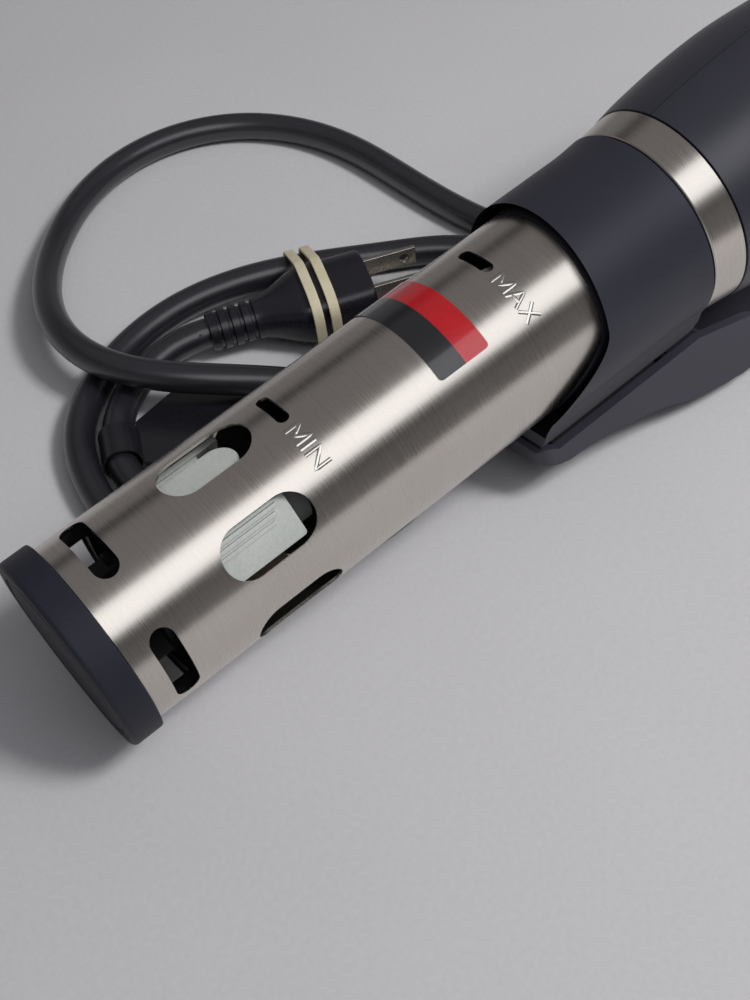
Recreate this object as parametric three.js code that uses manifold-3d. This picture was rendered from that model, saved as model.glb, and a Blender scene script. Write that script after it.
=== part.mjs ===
// Sous vide circulator, lying on a flat surface on its end cap and its clip lever.
// Millimetres. The tool is built along its own axis first: X runs from the end cap to the head,
// +Z is the front (slots, label and display) and -Z is the back, where the clip is.
// The whole tool is then rolled and tilted so that it lies on Z = 0, and the cord is laid beside it.

import * as THREE from 'three';
import { ConvexGeometry } from 'three/addons/geometries/ConvexGeometry.js';
import { mergeVertices } from 'three/addons/utils/BufferGeometryUtils.js';
import Module from 'manifold-3d';

const wasm = await Module();
wasm.setup();

// ---------- Clearances ----------
const seat = 0.3; // between pieces that touch
const running = 0.6; // around pieces that turn or slide
const overlap = 0.5; // how far the joined shapes of one piece reach into each other

// ---------- Sides of round pieces ----------
const round = 40;
const roundMedium = 28;
const roundSmall = 20;
const roundTiny = 12;

// ---------- Sleeve and end cap ----------
const sleeveRadius = 25.5;
const sleeveWall = 0.8;
const capProud = 2; // the end cap's rim beyond the sleeve
const capHeight = 8.8;
const capEdge = 1.5; // rounding of the end cap's lower edge
const capFloor = 3;
const skirtHeight = 4.2;
const skirtWall = 2.2;
const capRadius = sleeveRadius + capProud;
const sleeveInner = sleeveRadius - sleeveWall;
const fitRadius = sleeveInner - seat; // what slides into the sleeve
const sleeveStart = capHeight + seat;

// ---------- Openings in the sleeve, from the end cap upwards ----------
const outletInset = 9.3; // from the sleeve's end to the middle of the outlets
const outletLength = 6.8; // along the tool
const outletWidth = 23.3;
const outletCount = 4;
const windowInset = 18; // from the outlets to the windows
const windowSpan = 26.4;
const windowWidth = 14;
const windowCount = 6;
const markInset = 7.8; // from the windows to the low water mark
const levelRise = 66.6; // from the low to the high water mark
const markLength = 3.6;
const markWidth = 12.2;
const outletCentre = sleeveStart + outletInset;
const outletEnd = outletCentre + outletLength / 2;
const windowStart = outletEnd + windowInset;
const windowEnd = windowStart + windowSpan;
const minimumMark = windowEnd + markInset;
const maximumMark = minimumMark + levelRise;

// ---------- Label on the sleeve ----------
const labelInset = 36.3; // from the low water mark
const labelLength = 16.1;
const labelAngle = 98;
const labelThickness = 0.4;
const labelStart = minimumMark + labelInset;
const labelEnd = labelStart + labelLength;

// ---------- Pump and flow guide ----------
const cageWall = 3.4;
const cageMargin = 0.7; // from the outlets to the edges of the cage's openings
const cageTail = 6.6; // of the cage above the outlets
const guideBase = 3.6; // thickness of the flow guide's base
const guideGap = 3.2; // from the sleeve to the guide's vanes
const guideHoleRadius = 2.6;
const guideHoleCircle = 13.4;
const guideTubeRadius = 8.6;
const guideTubeTail = 4; // of the guide's tube above the windows
const vaneWidth = 11;
const vaneThickness = 1.6;
const vaneRib = 4.5; // depth of a vane's side ribs
const vaneInset = 5.7; // from the upper end of the windows to the vanes
const shaftRadius = 3;
const shaftNose = 1.5; // of the shaft below the impeller
const shaftTail = 3; // of the shaft above the fan
const bushWall = 1.9;
const bushTail = 4;
const impellerRadius = 15;
const impellerInset = 5.8; // from the end cap's rim
const impellerHeight = 8.4;
const impellerHub = 5.4;
const impellerPlate = 1.4;
const bladeCount = 6;
const bladeThickness = 1.4;
const cageStart = capHeight + skirtHeight + seat;
const cageEnd = outletEnd + cageTail;
const guideStart = cageEnd + seat;
const guideFloor = guideStart + guideBase;
const vaneEnd = windowEnd - vaneInset;
const impellerStart = capHeight + impellerInset;
const impellerEnd = impellerStart + impellerHeight;
const shaftBore = shaftRadius + running;
const bushRadius = shaftRadius + seat + bushWall;

// ---------- Heater, probes and flange ----------
const flangeInset = 16.4; // from the high water mark
const flangeThickness = 3.6;
const gasketThickness = 2.2;
const gasketWidth = 4;
const sealHeight = 4;
const sealWall = 3.7;
const heaterTubeRadius = 2.8;
const heaterCoilRadius = 17.6;
const heaterReturnRadius = 10.4;
const heaterInset = 19; // from the flange to the first turn
const heaterTurns = 3;
const heaterPitch = 16;
const probeRadius = 2;
const probeCircle = 10.4;
const probeTail = 3; // of the probes above the flange
const temperatureProbeInset = 5; // above the low water mark
const flangeStart = maximumMark + flangeInset;
const flangeEnd = flangeStart + flangeThickness;
const gasketStart = flangeEnd + seat;
const heaterTop = flangeStart - heaterInset;
const temperatureProbeEnd = minimumMark + temperatureProbeInset;
const lowProbeEnd = minimumMark;
const highProbeEnd = maximumMark;

// ---------- Clip: collar, lever, pads, pin and spring ----------
const collarWall = 3.2;
const flareProud = 0.6; // the collar's shoulder beyond its body
const tongueInset = 5.6; // of the tongue's tip below the high water mark
const sideRise = 20.6; // from the tongue's tip to where the lower rim crosses the sides
const collarLength = 58.6;
const collarRimEdge = 0.8; // chamfer of the collar's upper edge
const rimSlope = 0.15;
const keelWall = 3.1; // from the sleeve to the collar's flat back
const clipHalfWidth = 17.8;
const jawGroove = 3.8; // between the collar's back and the lever's flanges
const flangeWall = 3;
const padInset = 5; // from the tongue's tip
const padLength = 40;
const fixedPadThickness = 1.1;
const padRecess = 2.2; // of the lever pad's seat into the lever
const pivotRise = 3.4; // of the hinge beyond the collar's top
const pivotDrop = 13.4; // of the hinge behind the collar's back
const pinRadius = 2;
const pinInset = 1.2; // from the lever's sides to the ends of the pin
const lugInner = 8;
const lugOuter = 13;
const lugRadius = 5.6;
const leverLead = 1.2; // of the lever's tip beyond the collar's tongue
const leverReach = 71; // from the hinge to the thumb end
const leverWeb = 2.8;
const heelReach = 12; // from the hinge to the lever's lowest point when the tool lies down
const heelDrop = 17.6;
const crownDrop = 2.2; // from the middle of the lever's back to its edges
const crownFlat = 6; // half width of the flat middle of the back
const springWire = 0.9;
const springCoil = 3.6;
const collarRadius = sleeveRadius + collarWall;
const collarFlare = collarRadius + flareProud;
const tongueEnd = maximumMark - tongueInset;
const collarSide = tongueEnd + sideRise;
const collarTop = tongueEnd + collarLength;
const keelBack = sleeveRadius + keelWall;
const leverInner = keelBack + jawGroove;
const leverShelf = leverInner + padRecess;
const flangeInner = clipHalfWidth - flangeWall;
const padHalfWidth = flangeInner - running;
const padStart = tongueEnd + padInset;
const padEnd = padStart + padLength;
const fixedPadBack = keelBack + seat + fixedPadThickness;
const leverPadFace = fixedPadBack + seat;
const pivotX = collarTop + pivotRise;
const pivotDepth = keelBack + pivotDrop;
const pinHalfLength = clipHalfWidth - pinInset;
const leverTip = tongueEnd - leverLead;
const leverEnd = pivotX + leverReach;
const heelX = pivotX + heelReach;
const heelDepth = pivotDepth + heelDrop;

// ---------- Trim ring and head ----------
const trimLength = 10.3;
const sleeveTuck = 1.2; // from the sleeve's upper end to the trim ring's
const headProud = 5; // the head's foot beyond the sleeve
const headLength = 119.5;
const headWall = 2.4;
const displaySlope = 46; // degrees between the tool's axis and the display's normal
const displayInset = 32; // from the head's end to where the display meets the front
const displayRise = 0.5; // of that edge above the head's foot
const bezelThickness = 2.6;
const windowLength = 30; // display window, across the head
const windowHeight = 13;
const windowFrame = 2; // of the bezel under the display window's edge
const displayGlass = 1.4;
const buttonRadius = 4;
const buttonLip = 1;
const buttonLipHeight = 0.9;
const buttonProud = 0.9;
const buttonTravel = 0.8;
const buttonSpacing = 11;
const buttonRow = 15; // up the display slope from its lower edge
const windowRow = 30.5;
const postRow = 22.6; // of the posts that carry the display board
const postSpread = 14.4;
const postRadius = 1.6;
const displayBoardThickness = 1.4;
const switchHeight = 1.9;
const switchRadius = 2;
const trimStart = collarTop + seat;
const trimEnd = trimStart + trimLength;
const sleeveEnd = trimEnd - sleeveTuck;
const headStart = trimEnd + seat;
const headEnd = headStart + headLength;
const headFoot = sleeveRadius + headProud;
const displayEdge = headEnd - displayInset;

// ---------- Motor, fan and power board ----------
const mountInset = 1.2; // from the head's foot
const mountThickness = 3.4;
const mountVentRadius = 4;
const mountVentCircle = 22;
const motorRadius = 17;
const motorLength = 35.6;
const motorWall = 1.6;
const rotorGap = 1.2;
const rotorInset = 2.4;
const screwRadius = 1.5;
const screwHeadRadius = 2.8;
const screwHeadHeight = 1.6;
const screwSpread = 11;
const screwTail = 0.4;
const fanRadius = 20;
const fanInset = 3; // from the motor
const fanHeight = 6;
const fanBlades = 7;
const fanPitch = 0.4;
const boardInset = 57.5; // from the head's foot
const boardLength = 42;
const boardHalfWidth = 18;
const boardLevel = -14;
const boardThickness = 1.6;
const railHeight = 2.5;
const mountStart = headStart + mountInset;
const motorStart = mountStart + mountThickness + seat;
const motorEnd = motorStart + motorLength;
const fanStart = motorEnd + fanInset;
const fanEnd = fanStart + fanHeight;
const shaftEnd = fanEnd + shaftTail;
const boardStart = headStart + boardInset;
const boardEnd = boardStart + boardLength;

// ---------- Cord, plug, band and tag ----------
const cordRadius = 4.7;
const cordSides = 10;
const cordSteps = 80;
const glandLength = 30;
const glandRadius = 8;
const glandGroove = 2; // of the gland's neck where the head's wall holds it
const glandDepth = 10; // from the tool's axis towards the back
const glandOverlap = 4; // how far the cord goes into the gland
const plugHeight = 8.9; // of the strain relief's tail above the surface
const plugLength = 32;
const plugHalfWidth = 12.4;
const plugHalfHeight = 9;
const reliefLength = 20;
const reliefRadius = 6.6;
const bladeLength = 17.5;
const bladeHeight = 6.35;
const plugBladeThickness = 1.52;
const bladeSpread = 12.7; // between the two flat blades
const bladeRoot = 7.6; // how far the blades and the pin go into the plug
const bladeLevel = 2.6; // of the flat blades above the plug's middle
const earthPinRadius = 2.4;
const earthPinLength = 21;
const earthPinDrop = 8.2; // from the flat blades to the earth pin
const bandWidth = 3.2;
const bandThickness = 1;
const bandSpacing = 5.2;
const tagThickness = 0.6;
const tagWrap = 12;
const tagSlack = 0.8; // between the cord and the tag's loop

// ---------- How the tool lies ----------
const rollAngle = THREE.MathUtils.degToRad(10.4);
const heelBelow = heelDepth * Math.cos(rollAngle) + crownFlat * Math.sin(rollAngle);
const tiltAngle = Math.atan2(heelBelow - capRadius, heelX - capEdge);
const lift = capRadius * Math.cos(tiltAngle) - capEdge * Math.sin(tiltAngle);

// ---------- Finishes ----------
function finish(color, roughness, metalness) {
  return { color, roughness, metalness };
}

const charcoal = finish('#2d2d37', 0.5, 0);
const black = finish('#17171b', 0.45, 0);
const steel = finish('#b4b2ae', 0.3, 1);
const brass = finish('#c2a76a', 0.3, 1);
const copper = finish('#a5562c', 0.4, 0.8);
const palePlastic = finish('#c8cbc3', 0.55, 0);
const greyPlastic = finish('#6a6b70', 0.6, 0);
const rubber = finish('#222226', 0.85, 0);
const board = finish('#1f5a36', 0.6, 0);
const glass = finish('#0b0b0e', 0.12, 0);
const aluminium = finish('#a9acb0', 0.4, 1);
const labelRed = finish('#d21a1a', 0.35, 0);
const bandCream = finish('#e4dcc4', 0.7, 0);

// ---------- Solids ----------
function signedVolume(position, index) {
  const a = new THREE.Vector3();
  const b = new THREE.Vector3();
  const c = new THREE.Vector3();
  let volume = 0;
  for (let i = 0; i < index.length; i += 3) {
    a.fromArray(position, index[i] * 3);
    b.fromArray(position, index[i + 1] * 3);
    c.fromArray(position, index[i + 2] * 3);
    volume += a.dot(b.cross(c)) / 6;
  }
  return volume;
}

// A geometry becomes a solid: positions welded, flat triangles dropped, faces turned outwards.
function toSolid(geometry) {
  const bare = geometry.clone();
  bare.deleteAttribute('normal');
  bare.deleteAttribute('uv');
  const welded = mergeVertices(bare, 1e-4);
  const position = Float32Array.from(welded.getAttribute('position').array);
  const kept = [];
  const all = welded.getIndex().array;
  for (let i = 0; i < all.length; i += 3) {
    const [a, b, c] = [all[i], all[i + 1], all[i + 2]];
    if (a !== b && b !== c && a !== c) {
      kept.push(a, b, c);
    }
  }
  if (signedVolume(position, kept) < 0) {
    for (let i = 0; i < kept.length; i += 3) {
      [kept[i + 1], kept[i + 2]] = [kept[i + 2], kept[i + 1]];
    }
  }
  const triangles = Uint32Array.from(kept);
  return new wasm.Manifold(new wasm.Mesh({ numProp: 3, vertProperties: position, triVerts: triangles }));
}

function toGeometry(solid) {
  const result = solid.getMesh();
  const geometry = new THREE.BufferGeometry();
  geometry.setAttribute('position', new THREE.BufferAttribute(result.vertProperties, 3));
  geometry.setIndex(new THREE.BufferAttribute(result.triVerts, 1));
  geometry.computeVertexNormals();
  return geometry;
}

function join(first, ...rest) {
  return rest.reduce((whole, solid) => whole.add(solid), first);
}

function cut(first, ...rest) {
  return rest.reduce((whole, solid) => whole.subtract(solid), first);
}

// A body of revolution about X. The profile is a list of [x, radius].
function turned(profile, sides = round) {
  const points = profile.map(([x, radius]) => new THREE.Vector2(radius, x));
  return toSolid(new THREE.LatheGeometry(points, sides).rotateZ(-Math.PI / 2));
}

function disc(start, end, radius, sides = round) {
  return turned([[start, 0], [start, radius], [end, radius], [end, 0]], sides);
}

function ring(start, end, inner, outer, sides = round) {
  return turned([[start, inner], [start, outer], [end, outer], [end, inner], [start, inner]], sides);
}

// A round rod along X, off the tool's axis.
function rod(start, end, radius, y, z, sides = roundSmall) {
  return toSolid(new THREE.CylinderGeometry(radius, radius, end - start, sides)
    .rotateZ(Math.PI / 2)
    .translate((start + end) / 2, y, z));
}

function turnedBy(solid, angle) {
  return solid.rotate([THREE.MathUtils.radToDeg(angle), 0, 0]);
}

function box(x0, x1, y0, y1, z0, z1) {
  return toSolid(new THREE.BoxGeometry(x1 - x0, y1 - y0, z1 - z0)
    .translate((x0 + x1) / 2, (y0 + y1) / 2, (z0 + z1) / 2));
}

function outline(points) {
  return new THREE.Shape(points.map(([a, b]) => new THREE.Vector2(a, b)));
}

function roundedOutline(width, height, radius, sides = 4) {
  const shape = new THREE.Shape();
  const a = width / 2 - radius;
  const b = height / 2 - radius;
  shape.absarc(a, b, radius, 0, Math.PI / 2);
  shape.absarc(-a, b, radius, Math.PI / 2, Math.PI);
  shape.absarc(-a, -b, radius, Math.PI, Math.PI * 1.5);
  shape.absarc(a, -b, radius, Math.PI * 1.5, Math.PI * 2);
  return new THREE.Shape(shape.getPoints(sides));
}

function extruded(shape, depth) {
  return new THREE.ExtrudeGeometry(shape, { depth, bevelEnabled: false, curveSegments: 12 });
}

// An outline in X and depth behind the axis, extruded across the tool.
function sidePlate(points, y0, y1) {
  const shape = outline(points.map(([x, depth]) => [x, -depth]));
  return toSolid(extruded(shape, y1 - y0).rotateX(Math.PI / 2).translate(0, y1, 0));
}

// A straight bar between two points in X and depth behind the axis.
function sideBar([x0, d0], [x1, d1], thickness, y0, y1) {
  const length = Math.hypot(x1 - x0, d1 - d0);
  const [a, b] = [((d0 - d1) / length) * (thickness / 2), ((x1 - x0) / length) * (thickness / 2)];
  return sidePlate([[x0 + a, d0 + b], [x1 + a, d1 + b], [x1 - a, d1 - b], [x0 - a, d0 - b]], y0, y1);
}

// An outline in X and Y, extruded outwards along Z, then turned about the axis.
function radialPlug(shape, x, z0, z1, angle) {
  return toSolid(extruded(shape, z1 - z0).translate(x, 0, z0).rotateX(angle));
}

function around(count, make) {
  return Array.from({ length: count }, (_, index) => make((index * 2 * Math.PI) / count));
}

// A closed solid through rings of points that all have the same number of corners.
function loft(rings) {
  const corners = rings[0].length;
  const position = rings.flat().flatMap((point) => point);
  const index = [];
  for (let r = 0; r + 1 < rings.length; r += 1) {
    for (let i = 0; i < corners; i += 1) {
      const next = (i + 1) % corners;
      const [a, b] = [r * corners + i, r * corners + next];
      index.push(a, b, b + corners, a, b + corners, a + corners);
    }
  }
  const flat = rings[0].map(([x, , z]) => new THREE.Vector2(x, z));
  const clockwise = THREE.ShapeUtils.isClockWise(flat);
  const last = (rings.length - 1) * corners;
  for (const [a, b, c] of THREE.ShapeUtils.triangulateShape(flat, [])) {
    const [p, q] = clockwise ? [b, c] : [c, b];
    index.push(a, p, q);
    index.push(last + a, last + q, last + p);
  }
  const geometry = new THREE.BufferGeometry();
  geometry.setAttribute('position', new THREE.Float32BufferAttribute(position, 3));
  geometry.setIndex(index);
  return toSolid(geometry);
}

// A round bar that follows a curve.
function swept(curve, radius, sides, steps) {
  const corners = Array.from({ length: sides }, (_, i) => {
    const angle = (i * 2 * Math.PI) / sides;
    return new THREE.Vector2(radius * Math.cos(angle), radius * Math.sin(angle));
  });
  const shape = new THREE.Shape(corners);
  return new THREE.ExtrudeGeometry(shape, { steps, bevelEnabled: false, extrudePath: curve });
}

const object = new THREE.Group();
const tool = new THREE.Group();
object.add(tool);

function addMesh(group, name, geometry, look) {
  const mesh = new THREE.Mesh(geometry, new THREE.MeshStandardMaterial(look));
  mesh.name = name;
  group.add(mesh);
}

function piece(name, solid, look) {
  addMesh(tool, name, toGeometry(solid), look);
}

// ---------- Sleeve ----------
function openingCutter(shape, x, angle) {
  return radialPlug(shape, x, sleeveRadius * 0.5, collarFlare, angle);
}

function makeSleeve() {
  const outlet = roundedOutline(outletLength, outletWidth, outletLength / 2 - 0.01, 3);
  const window = roundedOutline(windowEnd - windowStart, windowWidth, windowWidth / 2 - 0.01);
  const mark = roundedOutline(markLength, markWidth, markLength / 2 - 0.01, 3);
  const windowCentre = (windowStart + windowEnd) / 2;
  return cut(
    ring(sleeveStart, sleeveEnd, sleeveInner, sleeveRadius),
    ...around(outletCount, (angle) => openingCutter(outlet, outletCentre, angle)),
    ...around(windowCount, (angle) => openingCutter(window, windowCentre, angle)),
    openingCutter(mark, minimumMark, 0),
    openingCutter(mark, maximumMark, 0),
  );
}

piece('steel_sleeve', makeSleeve(), steel);

// ---------- End cap: it twists off for cleaning ----------
function makeEndCap() {
  const skirtOuter = fitRadius;
  const skirtInner = skirtOuter - skirtWall;
  const top = capHeight + skirtHeight;
  const edge = [0, 30, 60, 90].map((degrees) => {
    const angle = THREE.MathUtils.degToRad(degrees);
    return [capEdge * (1 - Math.sin(angle)), capRadius - capEdge * (1 - Math.cos(angle))];
  }).reverse();
  return turned([[0, 0], ...edge, [capHeight, capRadius], [capHeight, skirtOuter], [top, skirtOuter],
    [top, skirtInner], [capFloor, skirtInner], [capFloor, 0]]);
}

piece('end_cap', makeEndCap(), charcoal);

// ---------- Outlet cage behind the small slots ----------
function makeOutletCage() {
  const opening = roundedOutline(outletLength + 2 * cageMargin, outletWidth + 4 * cageMargin, 2, 2);
  return cut(
    ring(cageStart, cageEnd, fitRadius - cageWall, fitRadius),
    ...around(outletCount, (angle) => openingCutter(opening, outletCentre, angle)),
  );
}

piece('outlet_cage', makeOutletCage(), black);

// ---------- Flow guide: pale vanes behind the long windows ----------
function makeVane(angle) {
  const face = sleeveInner - guideGap;
  const length = vaneEnd - guideFloor;
  const middle = (vaneEnd + guideFloor) / 2;
  const domed = roundedOutline(length + vaneWidth, vaneWidth, vaneWidth / 2 - 0.01);
  const sheet = radialPlug(domed, middle - vaneWidth / 2, face - vaneThickness, face, angle);
  const ribs = [-1, 1].map((side) => {
    const y = side * (vaneWidth / 2 - vaneThickness / 2);
    const rib = new THREE.BoxGeometry(length - vaneWidth / 2, vaneThickness, vaneRib)
      .translate(guideFloor - overlap + (length - vaneWidth / 2) / 2, y, face - vaneRib / 2)
      .rotateX(angle);
    return toSolid(rib);
  });
  return join(sheet, ...ribs);
}

function makeFlowGuide() {
  const base = cut(
    disc(guideStart, guideFloor, fitRadius),
    ...around(windowCount, (angle) => {
      const hole = new THREE.CylinderGeometry(guideHoleRadius, guideHoleRadius, guideBase * 3, roundTiny);
      hole.rotateZ(Math.PI / 2).translate(guideStart, 0, guideHoleCircle);
      hole.rotateX(angle + Math.PI / windowCount);
      return toSolid(hole);
    }),
  );
  const spineEnd = windowEnd + guideTubeTail;
  const spine = disc(guideFloor - overlap, spineEnd, guideTubeRadius, roundMedium);
  const vanes = around(windowCount, makeVane);
  const below = box(0, guideStart, -sleeveRadius, sleeveRadius, -sleeveRadius, sleeveRadius);
  return cut(join(base, spine, ...vanes), below, disc(0, spineEnd + 1, bushRadius + seat, roundSmall));
}

piece('flow_guide', makeFlowGuide(), palePlastic);
piece('lower_bush', ring(guideStart + seat, guideFloor + bushTail, shaftRadius + seat, bushRadius,
  roundSmall), brass);

// ---------- Rotor: impeller, shaft, motor rotor and fan turn together ----------
function bladesOn(start, end, inner, outer, count, thickness, pitch) {
  return around(count, (angle) => {
    const blade = new THREE.BoxGeometry(end - start, thickness, outer - inner);
    blade.translate(0, 0, (inner + outer) / 2);
    blade.applyMatrix4(new THREE.Matrix4().makeRotationZ(pitch));
    blade.translate((start + end) / 2, 0, 0).rotateX(angle);
    return toSolid(blade);
  });
}

function makeImpeller() {
  const plate = disc(impellerEnd - impellerPlate, impellerEnd, impellerRadius, round);
  const hub = disc(impellerStart, impellerEnd, impellerHub, roundSmall);
  const blades = bladesOn(impellerStart + overlap, impellerEnd - overlap, impellerHub - overlap,
    impellerRadius - overlap / 2, bladeCount, bladeThickness, 0);
  const bore = disc(impellerStart - 1, impellerEnd + 1, shaftRadius + seat, roundSmall);
  return cut(join(plate, hub, ...blades), bore);
}

function makeFan() {
  const hub = disc(fanStart, fanEnd, impellerHub, roundSmall);
  const blades = bladesOn(fanStart + overlap, fanEnd - overlap, impellerHub - overlap, fanRadius,
    fanBlades, bladeThickness, fanPitch);
  return cut(join(hub, ...blades), disc(fanStart - 1, fanEnd + 1, shaftRadius + seat, roundSmall));
}

piece('impeller', makeImpeller(), black);
piece('drive_shaft', disc(impellerStart - shaftNose, shaftEnd, shaftRadius, roundSmall), steel);
piece('motor_rotor', ring(motorStart + motorWall + rotorInset, motorEnd - motorWall - rotorInset,
  shaftRadius + seat, motorRadius - motorWall - rotorGap, roundMedium), copper);
piece('cooling_fan', makeFan(), black);

// ---------- Heater flange with what passes through it ----------
function polar(radius, degrees) {
  const angle = THREE.MathUtils.degToRad(degrees);
  return [radius * Math.sin(angle), radius * Math.cos(angle)];
}

const heaterLead = polar(heaterCoilRadius, 0);
const heaterReturn = polar(heaterReturnRadius, 180);
const temperaturePlace = polar(probeCircle, 90);
const lowProbePlace = polar(probeCircle, 270);
const highProbePlace = polar(probeCircle, 45);

const heaterSides = 6;
const heaterSteps = 72;

function makeHeaterPath() {
  const points = [];
  const leadTop = flangeEnd - 0.6;
  for (const x of [leadTop, (leadTop + heaterTop) / 2 + 3, heaterTop + 5]) {
    points.push(new THREE.Vector3(x, ...heaterLead));
  }
  const stepsPerTurn = 10;
  const steps = heaterTurns * stepsPerTurn + stepsPerTurn / 2 - 2;
  for (let i = 1; i <= steps; i += 1) {
    const degrees = (i * 360) / stepsPerTurn;
    const x = heaterTop - ((i - 1) * heaterPitch) / stepsPerTurn;
    points.push(new THREE.Vector3(x, ...polar(heaterCoilRadius, degrees)));
  }
  const bottom = heaterTop - ((steps + 1) * heaterPitch) / stepsPerTurn;
  points.push(new THREE.Vector3(bottom, ...polar(heaterCoilRadius - 2.5, 180 - 14)));
  points.push(new THREE.Vector3(bottom + 2.5, ...polar(heaterReturnRadius + 0.6, 180 - 4)));
  for (const x of [bottom + 12, (bottom + leadTop) / 2, leadTop]) {
    points.push(new THREE.Vector3(x, ...heaterReturn));
  }
  return new THREE.CatmullRomCurve3(points, false, 'centripetal');
}

function makeHeaterFlange() {
  const hole = (place, radius) => rod(flangeStart - 1, flangeEnd + 1, radius + seat, ...place);
  return cut(
    disc(flangeStart, flangeEnd, fitRadius),
    hole([0, 0], shaftRadius + seat),
    hole(heaterLead, heaterTubeRadius),
    hole(heaterReturn, heaterTubeRadius),
    hole(temperaturePlace, probeRadius),
    hole(lowProbePlace, probeRadius),
    hole(highProbePlace, probeRadius),
  );
}

addMesh(tool, 'heating_element', swept(makeHeaterPath(), heaterTubeRadius, heaterSides, heaterSteps), steel);
piece('heater_flange', makeHeaterFlange(), steel);
piece('flange_gasket', ring(gasketStart, gasketStart + gasketThickness, fitRadius - gasketWidth,
  fitRadius), rubber);
piece('shaft_seal', ring(gasketStart, gasketStart + sealHeight, shaftRadius + seat,
  shaftRadius + seat + sealWall, roundSmall), rubber);

function makeProbe(end, place) {
  return rod(end, flangeEnd + probeTail, probeRadius, ...place, roundTiny);
}

piece('temperature_probe', makeProbe(temperatureProbeEnd, temperaturePlace), steel);
piece('low_level_probe', makeProbe(lowProbeEnd, lowProbePlace), steel);
piece('high_level_probe', makeProbe(highProbeEnd, highProbePlace), steel);

// ---------- Sleeve label ----------
function makeLabel() {
  const inner = sleeveRadius + seat;
  const band = ring(labelStart, labelEnd, inner, inner + labelThickness);
  const half = THREE.MathUtils.degToRad(labelAngle / 2);
  const reach = sleeveRadius * 2;
  const sector = new THREE.Shape();
  sector.moveTo(0, 0);
  sector.lineTo(Math.sin(half) * reach, Math.cos(half) * reach);
  sector.lineTo(0, reach * 1.6);
  sector.lineTo(-Math.sin(half) * reach, Math.cos(half) * reach);
  const wedge = extruded(sector, labelEnd - labelStart + 2);
  const basis = new THREE.Matrix4().makeBasis(
    new THREE.Vector3(0, 1, 0),
    new THREE.Vector3(0, 0, 1),
    new THREE.Vector3(1, 0, 0),
  );
  return band.intersect(toSolid(wedge.applyMatrix4(basis).translate(labelStart - 1, 0, 0)));
}

piece('sleeve_label', makeLabel(), labelRed);

// ---------- Clamp collar with its tongue and two hinge lugs ----------
function rimAt(depth) {
  const t = THREE.MathUtils.clamp((depth + 3.5) / 26.4, 0, 1);
  const smooth = t * t * (3 - 2 * t);
  return tongueEnd + (collarSide - rimSlope * depth - tongueEnd) * (1 - smooth);
}

function makeCollarBody() {
  const flareStart = collarTop - 9;
  const barrel = turned([[tongueEnd, 0], [tongueEnd, collarRadius], [flareStart, collarRadius],
    [collarTop - collarRimEdge, collarFlare], [collarTop, collarFlare - collarRimEdge], [collarTop, 0]]);
  const half = clipHalfWidth - 1;
  const keel = new THREE.Shape();
  keel.moveTo(-collarRadius * Math.cos(0.2), -collarRadius * Math.sin(0.2));
  keel.lineTo(-clipHalfWidth, -keelBack + 1);
  keel.lineTo(-half, -keelBack);
  keel.lineTo(half, -keelBack);
  keel.lineTo(clipHalfWidth, -keelBack + 1);
  keel.lineTo(collarRadius * Math.cos(0.2), -collarRadius * Math.sin(0.2));
  const basis = new THREE.Matrix4().makeBasis(
    new THREE.Vector3(0, 1, 0),
    new THREE.Vector3(0, 0, 1),
    new THREE.Vector3(1, 0, 0),
  );
  const keelSolid = toSolid(extruded(keel, collarTop - tongueEnd)
    .applyMatrix4(basis)
    .translate(tongueEnd, 0, 0));
  const chamfer = sidePlate([[collarTop - 5, keelBack + 1], [collarTop - 1.5, keelBack - 2],
    [collarTop + 1, keelBack - 5], [collarTop + 1, keelBack + 1]], -sleeveRadius, sleeveRadius);
  return join(barrel, cut(keelSolid, chamfer));
}

function makeLug(y0, y1) {
  const points = [[pivotX - 15, keelBack - 0.6]];
  for (let degrees = 145; degrees >= -35; degrees -= 30) {
    const angle = THREE.MathUtils.degToRad(degrees);
    points.push([pivotX + lugRadius * Math.cos(angle), pivotDepth + lugRadius * Math.sin(angle)]);
  }
  points.push([collarTop - 5, keelBack - 0.6]);
  return sidePlate(points, y0, y1);
}

function makeCollar() {
  const depths = Array.from({ length: 18 }, (_, i) => -collarFlare - 1 + i * 3.8);
  const rim = depths.map((depth) => [rimAt(depth), depth]);
  const keep = sidePlate([...rim, [collarTop + 10, depths.at(-1)], [collarTop + 10, depths[0]]], -40, 40);
  const body = cut(makeCollarBody(), disc(tongueEnd - 1, collarTop + 1, sleeveRadius + seat));
  const pinHole = toSolid(new THREE.CylinderGeometry(pinRadius + seat, pinRadius + seat, 60, roundSmall)
    .translate(pivotX, 0, -pivotDepth));
  const lugs = [makeLug(lugInner, lugOuter), makeLug(-lugOuter, -lugInner)];
  return cut(join(body.intersect(keep), ...lugs), pinHole);
}

piece('clamp_collar', makeCollar(), charcoal);
piece('fixed_jaw_pad', box(padStart - 2, padEnd, -padHalfWidth, padHalfWidth, -fixedPadBack,
  -keelBack - seat), rubber);
piece('hinge_pin', toSolid(new THREE.CylinderGeometry(pinRadius, pinRadius, pinHalfLength * 2, roundSmall)
  .translate(pivotX, 0, -pivotDepth)), steel);

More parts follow.
